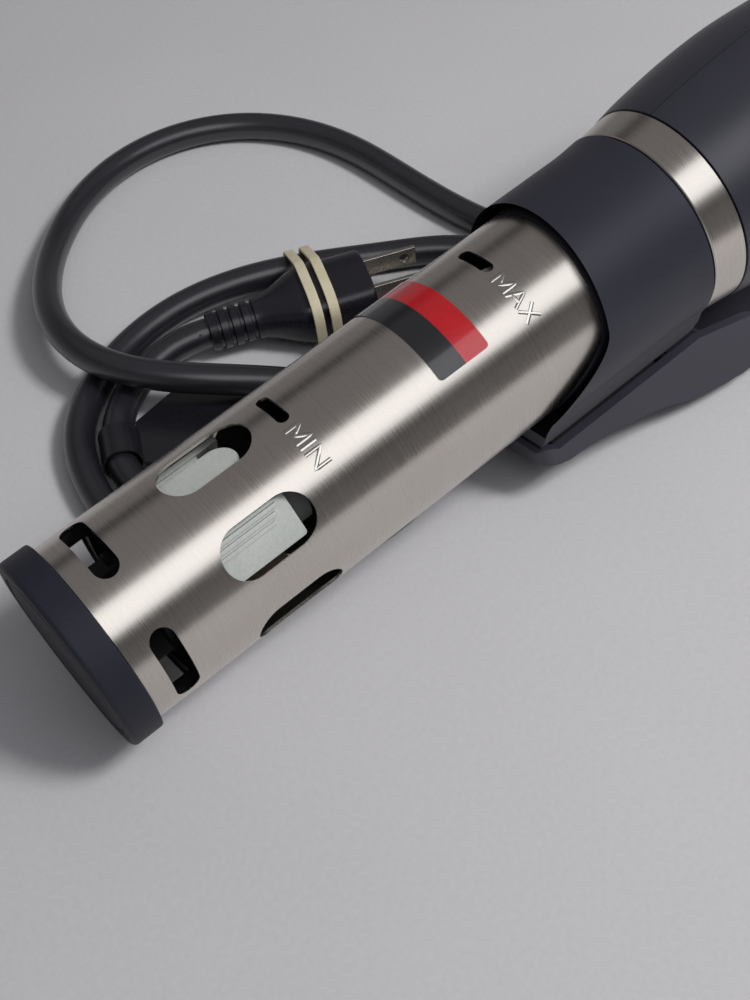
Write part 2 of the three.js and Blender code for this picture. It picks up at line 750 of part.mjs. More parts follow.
// ---------- Clip lever ----------
// Points are X and depth behind the tool's axis, from the tip to the thumb end and back.
const leverBack = [
  [leverTip, leverInner + 2.6], [leverTip + 4.8, leverInner + 5.1], [leverTip + 8.4, leverInner + 6.4],
  [leverTip + 16, leverInner + 7.1], [leverTip + 27.2, leverInner + 9.2],
  [leverTip + 38.5, leverInner + 12.5], [leverTip + 45.9, leverInner + 15.3],
  [pivotX - 9.7, pivotDepth + 9.5], [pivotX - 2.5, pivotDepth + 12.1],
  [pivotX + 4.3, pivotDepth + 13.9], [heelX - 3, heelDepth - crownDrop - 0.7],
  [heelX, heelDepth - crownDrop], [heelX + 4, heelDepth - crownDrop], [leverEnd - 3, heelDepth + 1.9],
  [leverEnd, heelDepth + 1.2],
];
const leverFront = [
  [leverEnd, heelDepth + 0.2], [leverEnd - 3, heelDepth - 1], [pivotX + 45, pivotDepth + 13.4],
  [pivotX + 35, pivotDepth + 8.4], [pivotX + 25, pivotDepth + 1.6], [pivotX + 17.3, pivotDepth - 3.5],
  [pivotX + 11.2, pivotDepth - 5.4], [pivotX + 5.3, pivotDepth - 7.3], [pivotX - 2.6, leverInner],
  [leverTip + 6, leverInner], [leverTip + 3.2, keelBack + 1.6], [leverTip + 1, keelBack + 1.4],
  [leverTip, keelBack + 2.6],
];

function makeLever() {
  const sectionAt = (y, drop) => [
    ...leverBack.map(([x, depth]) => [x, y, -(depth + crownDrop - drop)]),
    ...leverFront.map(([x, depth]) => [x, y, -depth]),
  ];
  const body = loft([
    sectionAt(-clipHalfWidth, crownDrop),
    sectionAt(-crownFlat, 0),
    sectionAt(crownFlat, 0),
    sectionAt(clipHalfWidth, crownDrop),
  ]);
  const webFace = leverBack.slice(3).map(([x, depth]) => [x, depth - leverWeb]);
  const shelf = leverShelf + 2;
  const channel = sidePlate([[padEnd + 1, 20], [padEnd + 1, shelf], [webFace[0][0] - 6, shelf], ...webFace,
    [leverEnd + 5, heelDepth - 2], [leverEnd + 5, 20]], -flangeInner, flangeInner);
  const padSeat = box(padStart - 1 - seat, padEnd + 2, -flangeInner, flangeInner, -leverShelf, -20);
  const boreLength = 2 * (pinHalfLength + seat);
  const bore = toSolid(new THREE.CylinderGeometry(pinRadius + seat, pinRadius + seat, boreLength, roundSmall)
    .translate(pivotX, 0, -pivotDepth));
  return cut(body, channel, padSeat, bore);
}

function makeSpring() {
  const outer = springCoil + springWire;
  const barrel = new THREE.CylinderGeometry(outer, outer, (lugInner - 1) * 2, roundSmall)
    .translate(pivotX, 0, -pivotDepth);
  const bore = new THREE.CylinderGeometry(pinRadius + running, pinRadius + running, 40, roundSmall)
    .translate(pivotX, 0, -pivotDepth);
  const side = lugInner - 3;
  const jawEnd = [padEnd + 4.5, keelBack + seat + springWire + 0.1];
  const thumbEnd = [pivotX + 29, pivotDepth + 12.6];
  const jawLeg = sideBar([pivotX, pivotDepth - springCoil], jawEnd, springWire * 2,
    side, side + springWire * 2);
  const thumbLeg = sideBar([pivotX, pivotDepth + springCoil], thumbEnd, springWire * 2,
    -side - springWire * 2, -side);
  return cut(join(toSolid(barrel), jawLeg, thumbLeg), toSolid(bore));
}

piece('clip_lever', makeLever(), charcoal);
piece('lever_pad', box(padStart, padEnd, -padHalfWidth, padHalfWidth, -leverShelf + seat,
  -leverPadFace), rubber);
piece('torsion_spring', makeSpring(), steel);

// ---------- Trim ring between collar and head ----------
function makeTrimRing() {
  const inner = sleeveRadius + seat;
  return turned([[trimStart, inner], [trimStart, collarFlare - seat], [trimEnd, headFoot - seat],
    [trimEnd, inner], [trimStart, inner]]);
}

piece('trim_ring', makeTrimRing(), steel);

// ---------- Head: two half shells split on the front centre line, under a sloping display bezel ----------
const headProfile = [
  [headStart, headFoot], [headStart + 7.5, headFoot + 1.3], [headStart + 24, headFoot + 3],
  [headStart + 40.5, headFoot + 3.7], [headStart + 56.5, headFoot + 3], [headEnd - 40, headFoot + 1.1],
  [headEnd - 22, headFoot - 1.1], [headEnd - 10, headFoot - 3.7], [headEnd - 3.5, headFoot - 7.3],
  [headEnd, headFoot - 13.5],
];
const slope = THREE.MathUtils.degToRad(displaySlope);
const displayNormal = new THREE.Vector3(Math.cos(slope), 0, Math.sin(slope));
const displayUp = new THREE.Vector3(Math.sin(slope), 0, -Math.cos(slope));
const displayAcross = new THREE.Vector3(0, 1, 0);
const displayCorner = new THREE.Vector3(displayEdge, 0, headFoot + displayRise);

// Panel coordinates: across the head, up the display slope, and out of it.
function onPanel(geometry) {
  const basis = new THREE.Matrix4().makeBasis(displayAcross, displayUp, displayNormal);
  return geometry.applyMatrix4(basis.setPosition(displayCorner));
}

function panelBlock(width, from, to, low, high) {
  return toSolid(onPanel(new THREE.BoxGeometry(width, to - from, high - low)
    .translate(0, (from + to) / 2, (low + high) / 2)));
}

function panelRod(across, up, radius, low, high) {
  return toSolid(onPanel(new THREE.CylinderGeometry(radius, radius, high - low, roundSmall)
    .rotateX(Math.PI / 2).translate(across, up, (low + high) / 2)));
}

function headSolid(inset) {
  const profile = headProfile.map(([x, radius]) => [x, radius - inset]);
  const start = inset > 0 ? headStart - 1 : headStart;
  const end = headEnd - inset;
  profile[0][0] = start;
  const kept = profile.filter(([x]) => x < end);
  const corner = inset > 0 ? kept.at(-1)[1] - 2 : profile.at(-1)[1];
  return turned([[start, 0], ...kept, [end, corner], [end, 0]]);
}

const panelReach = 90;
const beyondPanel = (level) => panelBlock(panelReach, -panelReach, panelReach, level, panelReach);
const glandNeck = glandRadius - glandGroove;
const cordHole = rod(headEnd - 12, headEnd + 5, glandNeck + seat, 0, -glandDepth);

function makeRails() {
  const under = boardLevel - seat;
  return [-1, 1].map((side) => {
    const y = [side * (boardHalfWidth - 2), side * collarFlare * 2].sort((a, b) => a - b);
    return box(boardStart, boardEnd, y[0], y[1], under - railHeight, under);
  });
}

function makeShell(side) {
  const outer = headSolid(0);
  const walls = cut(outer, headSolid(headWall));
  const whole = cut(join(walls, ...makeRails().map((rail) => rail.intersect(outer))),
    beyondPanel(-bezelThickness - seat), cordHole);
  const y = [side * seat / 2, side * 40].sort((a, b) => a - b);
  return whole.intersect(box(headStart - 2, headEnd + 2, y[0], y[1], -40, 40));
}

piece('head_left_shell', makeShell(-1), charcoal);
piece('head_right_shell', makeShell(1), charcoal);

const buttonPlaces = { minus_button: -buttonSpacing, start_button: 0, plus_button: buttonSpacing };

const lipTop = -bezelThickness - seat;
const lipBottom = lipTop - buttonLipHeight;
const switchTop = lipBottom - buttonTravel - seat;
const displayBoardTop = switchTop - switchHeight;
const displayBoardBottom = displayBoardTop - displayBoardThickness;

function makeBezel() {
  const face = headSolid(0).intersect(panelBlock(panelReach, -panelReach, panelReach, -bezelThickness, 0));
  const recess = panelBlock(windowLength + 2 * seat, windowRow - windowHeight / 2 - seat,
    windowRow + windowHeight / 2 + seat, -displayGlass - seat, 5);
  const light = panelBlock(windowLength - 2 * windowFrame, windowRow - windowHeight / 2 + windowFrame,
    windowRow + windowHeight / 2 - windowFrame, displayBoardBottom, 5);
  const holes = Object.values(buttonPlaces).map((across) => (
    panelRod(across, buttonRow, buttonRadius + seat, displayBoardBottom, 5)));
  const posts = [-1, 1].map((side) => (
    panelRod(side * postSpread, postRow, postRadius, displayBoardBottom, -bezelThickness + overlap)));
  return cut(join(face, ...posts), recess, light, ...holes);
}

function makeButton(across) {
  const cap = panelRod(across, buttonRow, buttonRadius, lipBottom, buttonProud);
  const lip = panelRod(across, buttonRow, buttonRadius + buttonLip, lipBottom, lipTop);
  return join(cap, lip);
}

function makeDisplayBoard() {
  const plate = panelBlock(windowLength + 4, buttonRow - buttonRadius - buttonLip,
    windowRow + windowHeight / 2 - overlap, displayBoardBottom, displayBoardTop);
  const switches = Object.values(buttonPlaces).map((across) => (
    panelRod(across, buttonRow, switchRadius, displayBoardTop - overlap, switchTop)));
  const holes = [-1, 1].map((side) => (
    panelRod(side * postSpread, postRow, postRadius + seat, displayBoardBottom - 1, 0)));
  return cut(join(plate, ...switches), ...holes);
}

piece('head_top_bezel', makeBezel(), charcoal);
piece('display_window', panelBlock(windowLength, windowRow - windowHeight / 2, windowRow + windowHeight / 2,
  -displayGlass, 0), glass);
for (const [name, across] of Object.entries(buttonPlaces)) {
  piece(name, makeButton(across), greyPlastic);
}
piece('display_board', makeDisplayBoard(), board);

// ---------- Motor, mount and electronics in the head ----------
function makeMotorMount() {
  const vents = around(3, (angle) => {
    const vent = rod(mountStart - 1, motorStart + 1, mountVentRadius, 0, mountVentCircle, roundTiny);
    return turnedBy(vent, angle);
  });
  return cut(disc(mountStart, motorStart - seat, headFoot - headWall - seat), ...vents,
    disc(mountStart - 1, motorStart + 1, shaftBore + 2, roundSmall),
    ...motorScrewPlaces.map(([y, z]) => (
      rod(mountStart - 1, motorStart + 1, screwRadius + seat, y, z, roundTiny))));
}

function makeMotorHousing() {
  const inner = motorRadius - motorWall;
  const shell = turned([[motorStart, shaftRadius + seat], [motorStart, motorRadius], [motorEnd, motorRadius],
    [motorEnd, shaftRadius + seat], [motorEnd - motorWall, shaftRadius + seat], [motorEnd - motorWall, inner],
    [motorStart + motorWall, inner], [motorStart + motorWall, shaftRadius + seat],
    [motorStart, shaftRadius + seat]], roundMedium);
  return cut(shell, ...motorScrewPlaces.map(([y, z]) => (
    rod(motorStart - 1, motorStart + motorWall + 1, screwRadius + seat, y, z, roundTiny))));
}

const motorScrewPlaces = [[screwSpread, 0], [-screwSpread, 0]];
piece('motor_mount', makeMotorMount(), aluminium);
piece('motor_housing', makeMotorHousing(), steel);
motorScrewPlaces.forEach(([y, z], i) => {
  const headTop = mountStart - seat;
  const head = rod(headTop - screwHeadHeight, headTop, screwHeadRadius, y, z, roundTiny);
  const thread = rod(headTop - overlap, motorStart + motorWall + screwTail, screwRadius, y, z, roundTiny);
  piece(`motor_screw_${i + 1}`, join(head, thread), steel);
});

function makePowerBoard() {
  const plate = box(boardStart + 1, boardEnd - 1, -boardHalfWidth, boardHalfWidth, boardLevel,
    boardLevel + boardThickness);
  const top = boardLevel + boardThickness - 0.2;
  const capacitor = toSolid(new THREE.CylinderGeometry(5, 5, 12, roundSmall).rotateX(Math.PI / 2)
    .translate(boardStart + 10, 10, top + 6));
  const relay = box(boardStart + 4, boardStart + 18, -14, -4, top, top + 9);
  const coil = box(boardStart + 20, boardStart + 30, 5, 15, top, top + 6);
  return join(plate, capacitor, relay, coil);
}

function makeHeatSink() {
  const base = boardLevel + boardThickness + seat;
  const foot = box(boardStart + 21, boardStart + 35, -14, -2, base, base + 1.6);
  const fins = [-13.4, -10.6, -7.8, -5, -2.6].map((y) => (
    box(boardStart + 21, boardStart + 35, y - 0.5, y + 0.5, base + 1, base + 7)));
  return join(foot, ...fins);
}

piece('power_board', makePowerBoard(), board);
piece('heat_sink', makeHeatSink(), aluminium);

// ---------- Cord gland ----------
function makeGland() {
  const flange = 1.6;
  const start = headEnd - headWall - flange - seat;
  const tail = headEnd + glandLength;
  const bore = cordRadius + seat + 0.15;
  const profile = [[start, bore], [start, glandNeck + 1], [start + flange, glandNeck + 1],
    [start + flange, glandNeck], [headEnd + seat, glandNeck], [headEnd + seat, glandRadius],
    [headEnd + 4, glandRadius], [headEnd + 5, glandRadius - 0.8],
    [tail, bore + 0.9], [tail, bore], [start, bore]];
  const points = profile.map(([x, radius]) => new THREE.Vector2(radius, x));
  return toSolid(new THREE.LatheGeometry(points, roundSmall)
    .rotateZ(-Math.PI / 2)
    .translate(0, 0, -glandDepth));
}

piece('cord_gland', makeGland(), rubber);

// ---------- Laying the tool down ----------
const lying = new THREE.Matrix4().makeRotationY(-tiltAngle)
  .multiply(new THREE.Matrix4().makeRotationX(-rollAngle))
  .setPosition(0, 0, lift);
lying.decompose(tool.position, tool.quaternion, tool.scale);

function laid(x, y, z) {
  return new THREE.Vector3(x, y, z).applyMatrix4(lying);
}

// ---------- Power cord: out of the gland, down to the surface, round a loop, under the sleeve ----------
const onFloor = cordRadius + 0.05;
const glandTail = headEnd + glandLength;
const plugTurn = THREE.MathUtils.degToRad(-22);
const plugPitch = THREE.MathUtils.degToRad(4);
const plugAim = new THREE.Vector3(Math.cos(plugTurn), Math.sin(plugTurn), Math.tan(plugPitch)).normalize();
const plugStart = new THREE.Vector3(102.5, 89.6, plugHeight);

function alongPlug(distance) {
  return plugStart.clone().addScaledVector(plugAim, distance);
}

const cordPoints = [
  laid(glandTail - glandOverlap, 0, -glandDepth),
  laid(glandTail + 12, 0, -glandDepth),
  ...[
    [384, 1, 70], [400, 11, 58], [408, 27, 41], [405, 43, 24], [391, 54, 11], [370, 60, 5.3],
    [346, 61.5, onFloor], [322, 60, onFloor], [298, 55, onFloor], [275, 47, onFloor], [252, 41.5, onFloor],
    [231, 43.5, onFloor], [214.5, 55, onFloor], [205.5, 74, onFloor], [202, 94, onFloor],
    [200.5, 114, onFloor],
    [199, 138, onFloor], [191.5, 160, onFloor], [176, 178, onFloor], [154.5, 187, onFloor],
    [131, 186.5, onFloor], [109, 177.5, onFloor], [91, 162.5, 5.6], [76, 143.5, 9.2], [66, 122, 13],
    [64, 101, 15], [72, 83, 15], [87, 69, 14], [104, 57.5, 10.8], [121.5, 45, 5.8],
    [130, 28, onFloor], [125.5, 9, onFloor], [111, -1.5, onFloor], [90.5, -3, onFloor], [70, 0.5, onFloor],
    [53, 10, onFloor], [42.5, 26, onFloor], [39.5, 45.5, onFloor], [42, 65, onFloor], [49.5, 84, onFloor],
    [65, 97.5, onFloor], [84, 106.5, onFloor], [105, 109, 6.2], [127, 103.5, 8], [148, 95, 7.2],
    [169, 86, onFloor], [187, 76.5, onFloor], [199, 62, onFloor], [200.8, 44, onFloor], [192, 28, onFloor],
    [175.5, 20, onFloor], [157, 20.5, 6.8], [142, 24, 12.6], [126.5, 26, 16], [111, 26, 12.6],
    [95, 25, 6.8], [80.5, 24.8, onFloor], [63, 30.6, onFloor], [52, 46, onFloor], [52, 65, onFloor],
    [62.5, 81, onFloor], [75.5, 90.5, onFloor], [89.5, 93.2, 7.2],
  ].map(([x, y, z]) => new THREE.Vector3(x, y, z)),
  alongPlug(-3),
  alongPlug(5),
];

// A smooth curve that is drawn towards its points and ends on the first and the last one.
class LooseCurve extends THREE.Curve {
  constructor(points) {
    super();
    const before = points[0].clone().multiplyScalar(2).sub(points[1]);
    const after = points.at(-1).clone().multiplyScalar(2).sub(points.at(-2));
    this.points = [before, ...points, after];
  }

  getPoint(t, target = new THREE.Vector3()) {
    const spans = this.points.length - 3;
    const first = Math.min(Math.floor(t * spans), spans - 1);
    const u = t * spans - first;
    const weights = [(1 - u) ** 3, 3 * u ** 3 - 6 * u ** 2 + 4, -3 * u ** 3 + 3 * u ** 2 + 3 * u + 1, u ** 3];
    target.set(0, 0, 0);
    weights.forEach((weight, i) => target.addScaledVector(this.points[first + i], weight / 6));
    return target;
  }
}

const cordCurve = new LooseCurve(cordPoints);
addMesh(object, 'power_cord', swept(cordCurve, cordRadius, cordSides, cordSteps), rubber);

// ---------- Plug: two flat blades and a round earth pin ----------
const plugSide = new THREE.Vector3(-plugAim.y, plugAim.x, 0).normalize();
const plugFrame = new THREE.Matrix4()
  .makeBasis(plugAim, plugSide, plugAim.clone().cross(plugSide))
  .setPosition(plugStart);

function plugPiece(name, solid, look) {
  addMesh(object, name, toGeometry(solid).applyMatrix4(plugFrame), look);
}

function plugSection(x, halfWidth, halfHeight, corner) {
  const points = [];
  for (let i = 0; i < 20; i += 1) {
    const angle = (i * 2 * Math.PI) / 20;
    const [c, s] = [Math.cos(angle), Math.sin(angle)];
    const y = halfWidth * Math.sign(c) * Math.abs(c) ** corner;
    const z = halfHeight * Math.sign(s) * Math.abs(s) ** corner;
    points.push([x, y, z]);
  }
  return points;
}

function loftAlong(sections) {
  const turnedSections = sections.map((points) => points.map(([x, y, z]) => [y, x, z]));
  const solid = loft(turnedSections);
  return toSolid(toGeometry(solid).applyMatrix4(new THREE.Matrix4().makeBasis(
    new THREE.Vector3(0, 1, 0),
    new THREE.Vector3(1, 0, 0),
    new THREE.Vector3(0, 0, 1),
  )));
}

const plugFront = reliefLength + plugLength;
const bladePlaces = [-bladeSpread / 2, bladeSpread / 2];

function makePlugBody() {
  const body = loftAlong([
    plugSection(0, reliefRadius - 0.6, reliefRadius - 0.6, 1),
    plugSection(reliefLength - 3, reliefRadius, reliefRadius, 1),
    plugSection(reliefLength + 4, plugHalfWidth - 2.5, plugHalfHeight - 1.6, 0.75),
    plugSection(reliefLength + 11, plugHalfWidth, plugHalfHeight, 0.6),
    plugSection(plugFront, plugHalfWidth, plugHalfHeight, 0.6),
  ]);
  const cordBore = rod(-1, 6, cordRadius + seat + 0.3, 0, 0);
  const holeStart = plugFront - bladeRoot - seat;
  const across = plugBladeThickness / 2 + seat;
  const high = bladeHeight / 2 + seat;
  const slots = bladePlaces.map((y) => (
    box(holeStart, plugFront + 1, y - across, y + across, bladeLevel - high, bladeLevel + high)));
  const pinHole = rod(holeStart, plugFront + 1, earthPinRadius + seat, 0, bladeLevel - earthPinDrop,
    roundTiny);
  return cut(body, cordBore, ...slots, pinHole);
}

function makeBlade(y) {
  const end = plugFront + bladeLength;
  const blade = box(plugFront - bladeRoot, end, y - plugBladeThickness / 2, y + plugBladeThickness / 2,
    bladeLevel - bladeHeight / 2, bladeLevel + bladeHeight / 2);
  const hole = toSolid(new THREE.CylinderGeometry(1.6, 1.6, 20, roundTiny).translate(end - 4, y, bladeLevel));
  return cut(blade, hole);
}

plugPiece('plug_body', makePlugBody(), black);
plugPiece('plug_blade_left', makeBlade(bladePlaces[1]), brass);
plugPiece('plug_blade_right', makeBlade(bladePlaces[0]), brass);
plugPiece('plug_earth_pin', rod(plugFront - bladeRoot, plugFront + earthPinLength, earthPinRadius, 0,
  bladeLevel - earthPinDrop, roundTiny), brass);

// ---------- Rubber band, two turns round the plug and the strand beside it ----------
const strandBeside = new THREE.Vector3(0, 22, -4.4); // its centre in the plug's frame

function bandCore(start, end, offset) {
  const near = offset + seat + 0.2;
  const points = [];
  for (const x of [start, end]) {
    for (const point of plugSection(x, plugHalfWidth + near, plugHalfHeight + near, 0.6)) {
      points.push(new THREE.Vector3(...point));
    }
    for (let i = 0; i < 16; i += 1) {
      const [y, z] = polar(cordRadius + near + 0.4, (i * 360) / 16);
      points.push(new THREE.Vector3(x, strandBeside.y + y, strandBeside.z + z));
    }
  }
  return toSolid(new ConvexGeometry(points));
}

function makeBand() {
  const start = reliefLength + 11;
  const turn = (at) => (
    cut(bandCore(at, at + bandWidth, bandThickness), bandCore(at - 1, at + bandWidth + 1, 0)));
  const under = -plugHalfHeight - seat - 0.2;
  const bridge = box(start + 1, start + bandSpacing + 1, -3, 3, under - bandThickness, under - 0.1);
  return join(turn(start), turn(start + bandSpacing), bridge);
}

plugPiece('cord_band', makeBand(), bandCream);

// ---------- Tag wrapped round the cord ----------
function makeTag() {
  const centre = new THREE.Vector3(56.3, 68.8, onFloor);
  const along = new THREE.Vector3(0.42, 0.9, 0).normalize();
  const inner = cordRadius + tagSlack;
  const wrap = (radius, length) => {
    const tube = new THREE.CylinderGeometry(radius, radius, length, roundSmall);
    tube.applyQuaternion(new THREE.Quaternion().setFromUnitVectors(new THREE.Vector3(0, 1, 0), along));
    return toSolid(tube.translate(centre.x, centre.y, centre.z));
  };
  const above = box(-50, 150, -50, 150, 0.05, 60);
  const loop = cut(wrap(inner + tagThickness, tagWrap).intersect(above), wrap(inner, tagWrap * 2));
  const flag = outline([[59.4, 73.8], [91, 81.4], [100, 57], [67, 52], [57, 62]]);
  const sheet = toSolid(extruded(flag, tagThickness).translate(0, 0, onFloor));
  return join(loop, cut(sheet, wrap(inner, tagWrap * 2)));
}

addMesh(object, 'cord_tag', toGeometry(makeTag()), black);

// The origin is under the middle of the tool, on the surface.
const toolBox = new THREE.Box3().setFromObject(tool, true);
const toolCentre = toolBox.getCenter(new THREE.Vector3());
object.children.forEach((child) => child.position.sub(new THREE.Vector3(toolCentre.x, toolCentre.y, 0)));

export default object;
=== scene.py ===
from math import atan2, copysign, cos, hypot, pi, radians, sin

import bpy
from mathutils import Matrix, Vector


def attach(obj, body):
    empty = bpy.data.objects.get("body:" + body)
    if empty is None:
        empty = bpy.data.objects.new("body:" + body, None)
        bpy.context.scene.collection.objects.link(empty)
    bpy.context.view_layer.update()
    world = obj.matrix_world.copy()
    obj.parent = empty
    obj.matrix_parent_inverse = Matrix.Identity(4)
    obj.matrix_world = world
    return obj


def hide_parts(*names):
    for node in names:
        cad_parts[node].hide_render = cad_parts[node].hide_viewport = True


# Sous vide circulator lying on a pale table. Sizes are in millimetres and turn into metres as they are used.

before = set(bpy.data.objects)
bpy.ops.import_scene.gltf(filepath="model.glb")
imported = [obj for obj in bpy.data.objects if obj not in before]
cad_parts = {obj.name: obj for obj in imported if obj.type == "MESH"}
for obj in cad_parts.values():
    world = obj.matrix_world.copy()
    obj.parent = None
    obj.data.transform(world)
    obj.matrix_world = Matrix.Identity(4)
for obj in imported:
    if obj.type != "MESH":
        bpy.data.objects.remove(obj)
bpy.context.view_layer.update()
mm = 0.001
print("frame loaded")

# How the tool lies: rolled, then tilted onto its end cap and the back of its lever
lying = {"roll": 10.4, "heelDepth": 59.6, "heelReach": 209, "crownFlat": 6, "capRadius": 27.5, "capEdge": 1.5,
         "middle": 174.1315}
roll = radians(lying["roll"])
heelBelow = lying["heelDepth"] * cos(roll) + lying["crownFlat"] * sin(roll)
tilt = atan2(heelBelow - lying["capRadius"], lying["heelReach"] - lying["capEdge"])
lift = lying["capRadius"] * cos(tilt) - lying["capEdge"] * sin(tilt)
toolPlace = (Matrix.Translation((-lying["middle"] * mm, 0, lift * mm))
             @ Matrix.Rotation(-tilt, 4, "Y") @ Matrix.Rotation(-roll, 4, "X"))
toolTurn = toolPlace.to_3x3().inverted().to_euler("XYZ")  # brings a pattern in line with the tool
toolAim = (toolPlace.to_3x3() @ Vector((1, 0, 0))).normalized()


# Modelling helpers

def clearSelection():
    if bpy.context.object and bpy.context.object.mode != "OBJECT":
        bpy.ops.object.mode_set(mode="OBJECT")
    bpy.ops.object.select_all(action="DESELECT")


def makeActive(piece):
    clearSelection()
    piece.select_set(True)
    bpy.context.view_layer.objects.active = piece


def editAll(piece):
    makeActive(piece)
    bpy.ops.object.mode_set(mode="EDIT")
    bpy.ops.mesh.select_all(action="SELECT")


def modify(piece, kind, **settings):
    makeActive(piece)
    step = piece.modifiers.new(kind.lower(), kind)
    for key, value in settings.items():
        setattr(step, key, value)
    bpy.ops.object.modifier_apply(modifier=step.name)
    return piece


def tidyMesh(piece, gap=0.003):
    editAll(piece)
    bpy.ops.mesh.remove_doubles(threshold=gap * mm)
    bpy.ops.mesh.normals_make_consistent(inside=False)
    bpy.ops.object.mode_set(mode="OBJECT")
    return piece


# Names the shape just added and settles its place and size in its mesh
def settled(name, scale=(1, 1, 1)):
    piece = bpy.context.object
    piece.name = name
    piece.scale = scale
    bpy.ops.object.transform_apply(location=True, rotation=True, scale=True)
    return piece


def addObject(name, data):
    piece = bpy.data.objects.new(name, data)
    bpy.context.scene.collection.objects.link(piece)
    return piece


def convertToMesh(piece):
    makeActive(piece)
    bpy.ops.object.convert(target="MESH")
    return bpy.context.object


def addSpline(line, points):
    spline = line.splines.new("POLY")
    spline.points.add(len(points) - 1)
    for point, place in zip(spline.points, points):
        point.co = (*place, 1)
    return spline


def roundEdges(piece, width, segments=3, angle=35):
    return modify(piece, "BEVEL", width=width * mm, segments=segments, limit_method="ANGLE",
                  angle_limit=radians(angle), harden_normals=False)


def joinPieces(first, *rest):
    makeActive(first)
    for other in rest:
        other.select_set(True)
    bpy.ops.object.join()
    return first


def boolean(piece, other, operation):
    modify(piece, "BOOLEAN", operation=operation, solver="EXACT", object=other)
    bpy.data.objects.remove(other, do_unlink=True)
    return piece


def cutAway(piece, *tools):
    for tool in tools:
        boolean(piece, tool, "DIFFERENCE")
    return piece


def moved(x, y=0, z=0):
    return Matrix.Translation((x * mm, y * mm, z * mm))


def axes(x, y, z):
    return Matrix((x, y, z)).transposed().to_4x4()


def moveMesh(piece, matrix):
    piece.data.transform(matrix)
    if matrix.determinant() < 0:  # a mirrored mesh is turned right side out again
        piece.data.flip_normals()
    return piece


# A shape turned about X as on a lathe, bored through or solid. The profile is pairs of x and radius.
def turnedPiece(name, profile, sides=96, bored=True):
    if bored:
        profile = profile + profile[:1]
    clearSelection()
    bpy.ops.mesh.primitive_circle_add(vertices=sides, radius=profile[0][1] * mm, fill_type="NOTHING",
                                      location=(profile[0][0] * mm, 0, 0), rotation=alongX)
    piece = settled(name)
    editAll(piece)
    for (xa, ra), (xb, rb) in zip(profile, profile[1:]):
        bpy.ops.mesh.extrude_region_move(TRANSFORM_OT_translate={"value": ((xb - xa) * mm, 0, 0)})
        if rb != ra:
            bpy.ops.transform.resize(value=(1, rb / ra, rb / ra), center_override=(xb * mm, 0, 0))
    if not bored:
        bpy.ops.mesh.select_all(action="SELECT")
        bpy.ops.mesh.fill_holes(sides=0)
    return tidyMesh(piece)


# A rounded plate: width along X, height along Y, drawn out along Z
def roundedPlate(name, length, width, corner, low, high, segments=8):
    clearSelection()
    bpy.ops.mesh.primitive_plane_add(size=1, location=(0, 0, low * mm))
    piece = settled(name, (length * mm, width * mm, 1))
    editAll(piece)
    if corner:
        bpy.ops.mesh.bevel(offset=corner * mm, segments=segments, affect="VERTICES", offset_type="OFFSET")
        bpy.ops.mesh.select_all(action="SELECT")
    bpy.ops.mesh.extrude_region_move(TRANSFORM_OT_translate={"value": (0, 0, (high - low) * mm)})
    return tidyMesh(piece)


# A flat outline filled and thickened along Z
def outlinePlate(name, points, low, high):
    line = bpy.data.curves.new(name, "CURVE")
    line.dimensions = "2D"
    line.fill_mode = "BOTH"
    line.extrude = (high - low) / 2 * mm
    addSpline(line, [(a * mm, b * mm, 0) for a, b in points]).use_cyclic_u = True
    piece = convertToMesh(addObject(name, line))
    return tidyMesh(moveMesh(piece, moved(0, 0, (low + high) / 2)))


# An outline in X and depth behind the tool's axis, drawn out across the tool
def sidePlate(name, points, left, right):
    piece = outlinePlate(name, [(x, -depth) for x, depth in points], -right, -left)
    return moveMesh(piece, Matrix.Rotation(pi / 2, 4, "X"))


alongX, alongY = (0, pi / 2, 0), (pi / 2, 0, 0)


def cylinder(name, radius, depth, location, rotation=(0, 0, 0), sides=48):
    clearSelection()
    bpy.ops.mesh.primitive_cylinder_add(vertices=sides, radius=radius * mm, depth=depth * mm,
                                        location=[v * mm for v in location], rotation=rotation)
    return settled(name)


def block(name, low, high):
    clearSelection()
    bpy.ops.mesh.primitive_cube_add(size=1, location=[(a + b) / 2 * mm for a, b in zip(low, high)])
    return settled(name, [(b - a) * mm for a, b in zip(low, high)])


# A skin through rings of points, capped at both ends or left open
def loftedPiece(name, rings, capped=True):
    count = len(rings[0])
    faces = [(r * count + i, r * count + (i + 1) % count, (r + 1) * count + (i + 1) % count, (r + 1) * count + i)
             for r in range(len(rings) - 1) for i in range(count)]
    if capped:
        faces += [tuple(range(count))[::-1], tuple((len(rings) - 1) * count + i for i in range(count))]
    mesh = bpy.data.meshes.new(name)
    mesh.from_pydata([Vector(p) * mm for ring in rings for p in ring], [], faces)
    return tidyMesh(addObject(name, mesh))


def smoothLine(points, steps):
    line = []
    for i in range(len(points) - 1):
        before = points[max(i - 1, 0)]
        after = points[min(i + 2, len(points) - 1)]
        for k in range(steps):
            t = k / steps
            line.append(tuple(0.5 * (2 * b + (c - a) * t + (2 * a - 5 * b + 4 * c - d) * t ** 2
                                     + (3 * b - a - 3 * c + d) * t ** 3)
                              for a, b, c, d in zip(before, points[i], points[i + 1], after)))
    return line + [points[-1]]


def around(count):
    return [i * 2 * pi / count for i in range(count)]


# A round bar: an empty curve with a round bevel of the given radius, whose points, in metres, are added later
def roundBar(name, radius, fineness):
    line = bpy.data.curves.new(name, "CURVE")
    line.dimensions = "3D"
    line.bevel_depth = radius * mm
    line.bevel_resolution = fineness
    line.use_fill_caps = True
    return line


# Materials

def linear(hexCode):
    values = [int(hexCode[i:i + 2], 16) / 255 for i in (1, 3, 5)]
    return tuple(v / 12.92 if v <= 0.04045 else ((v + 0.055) / 1.055) ** 2.4 for v in values) + (1,)


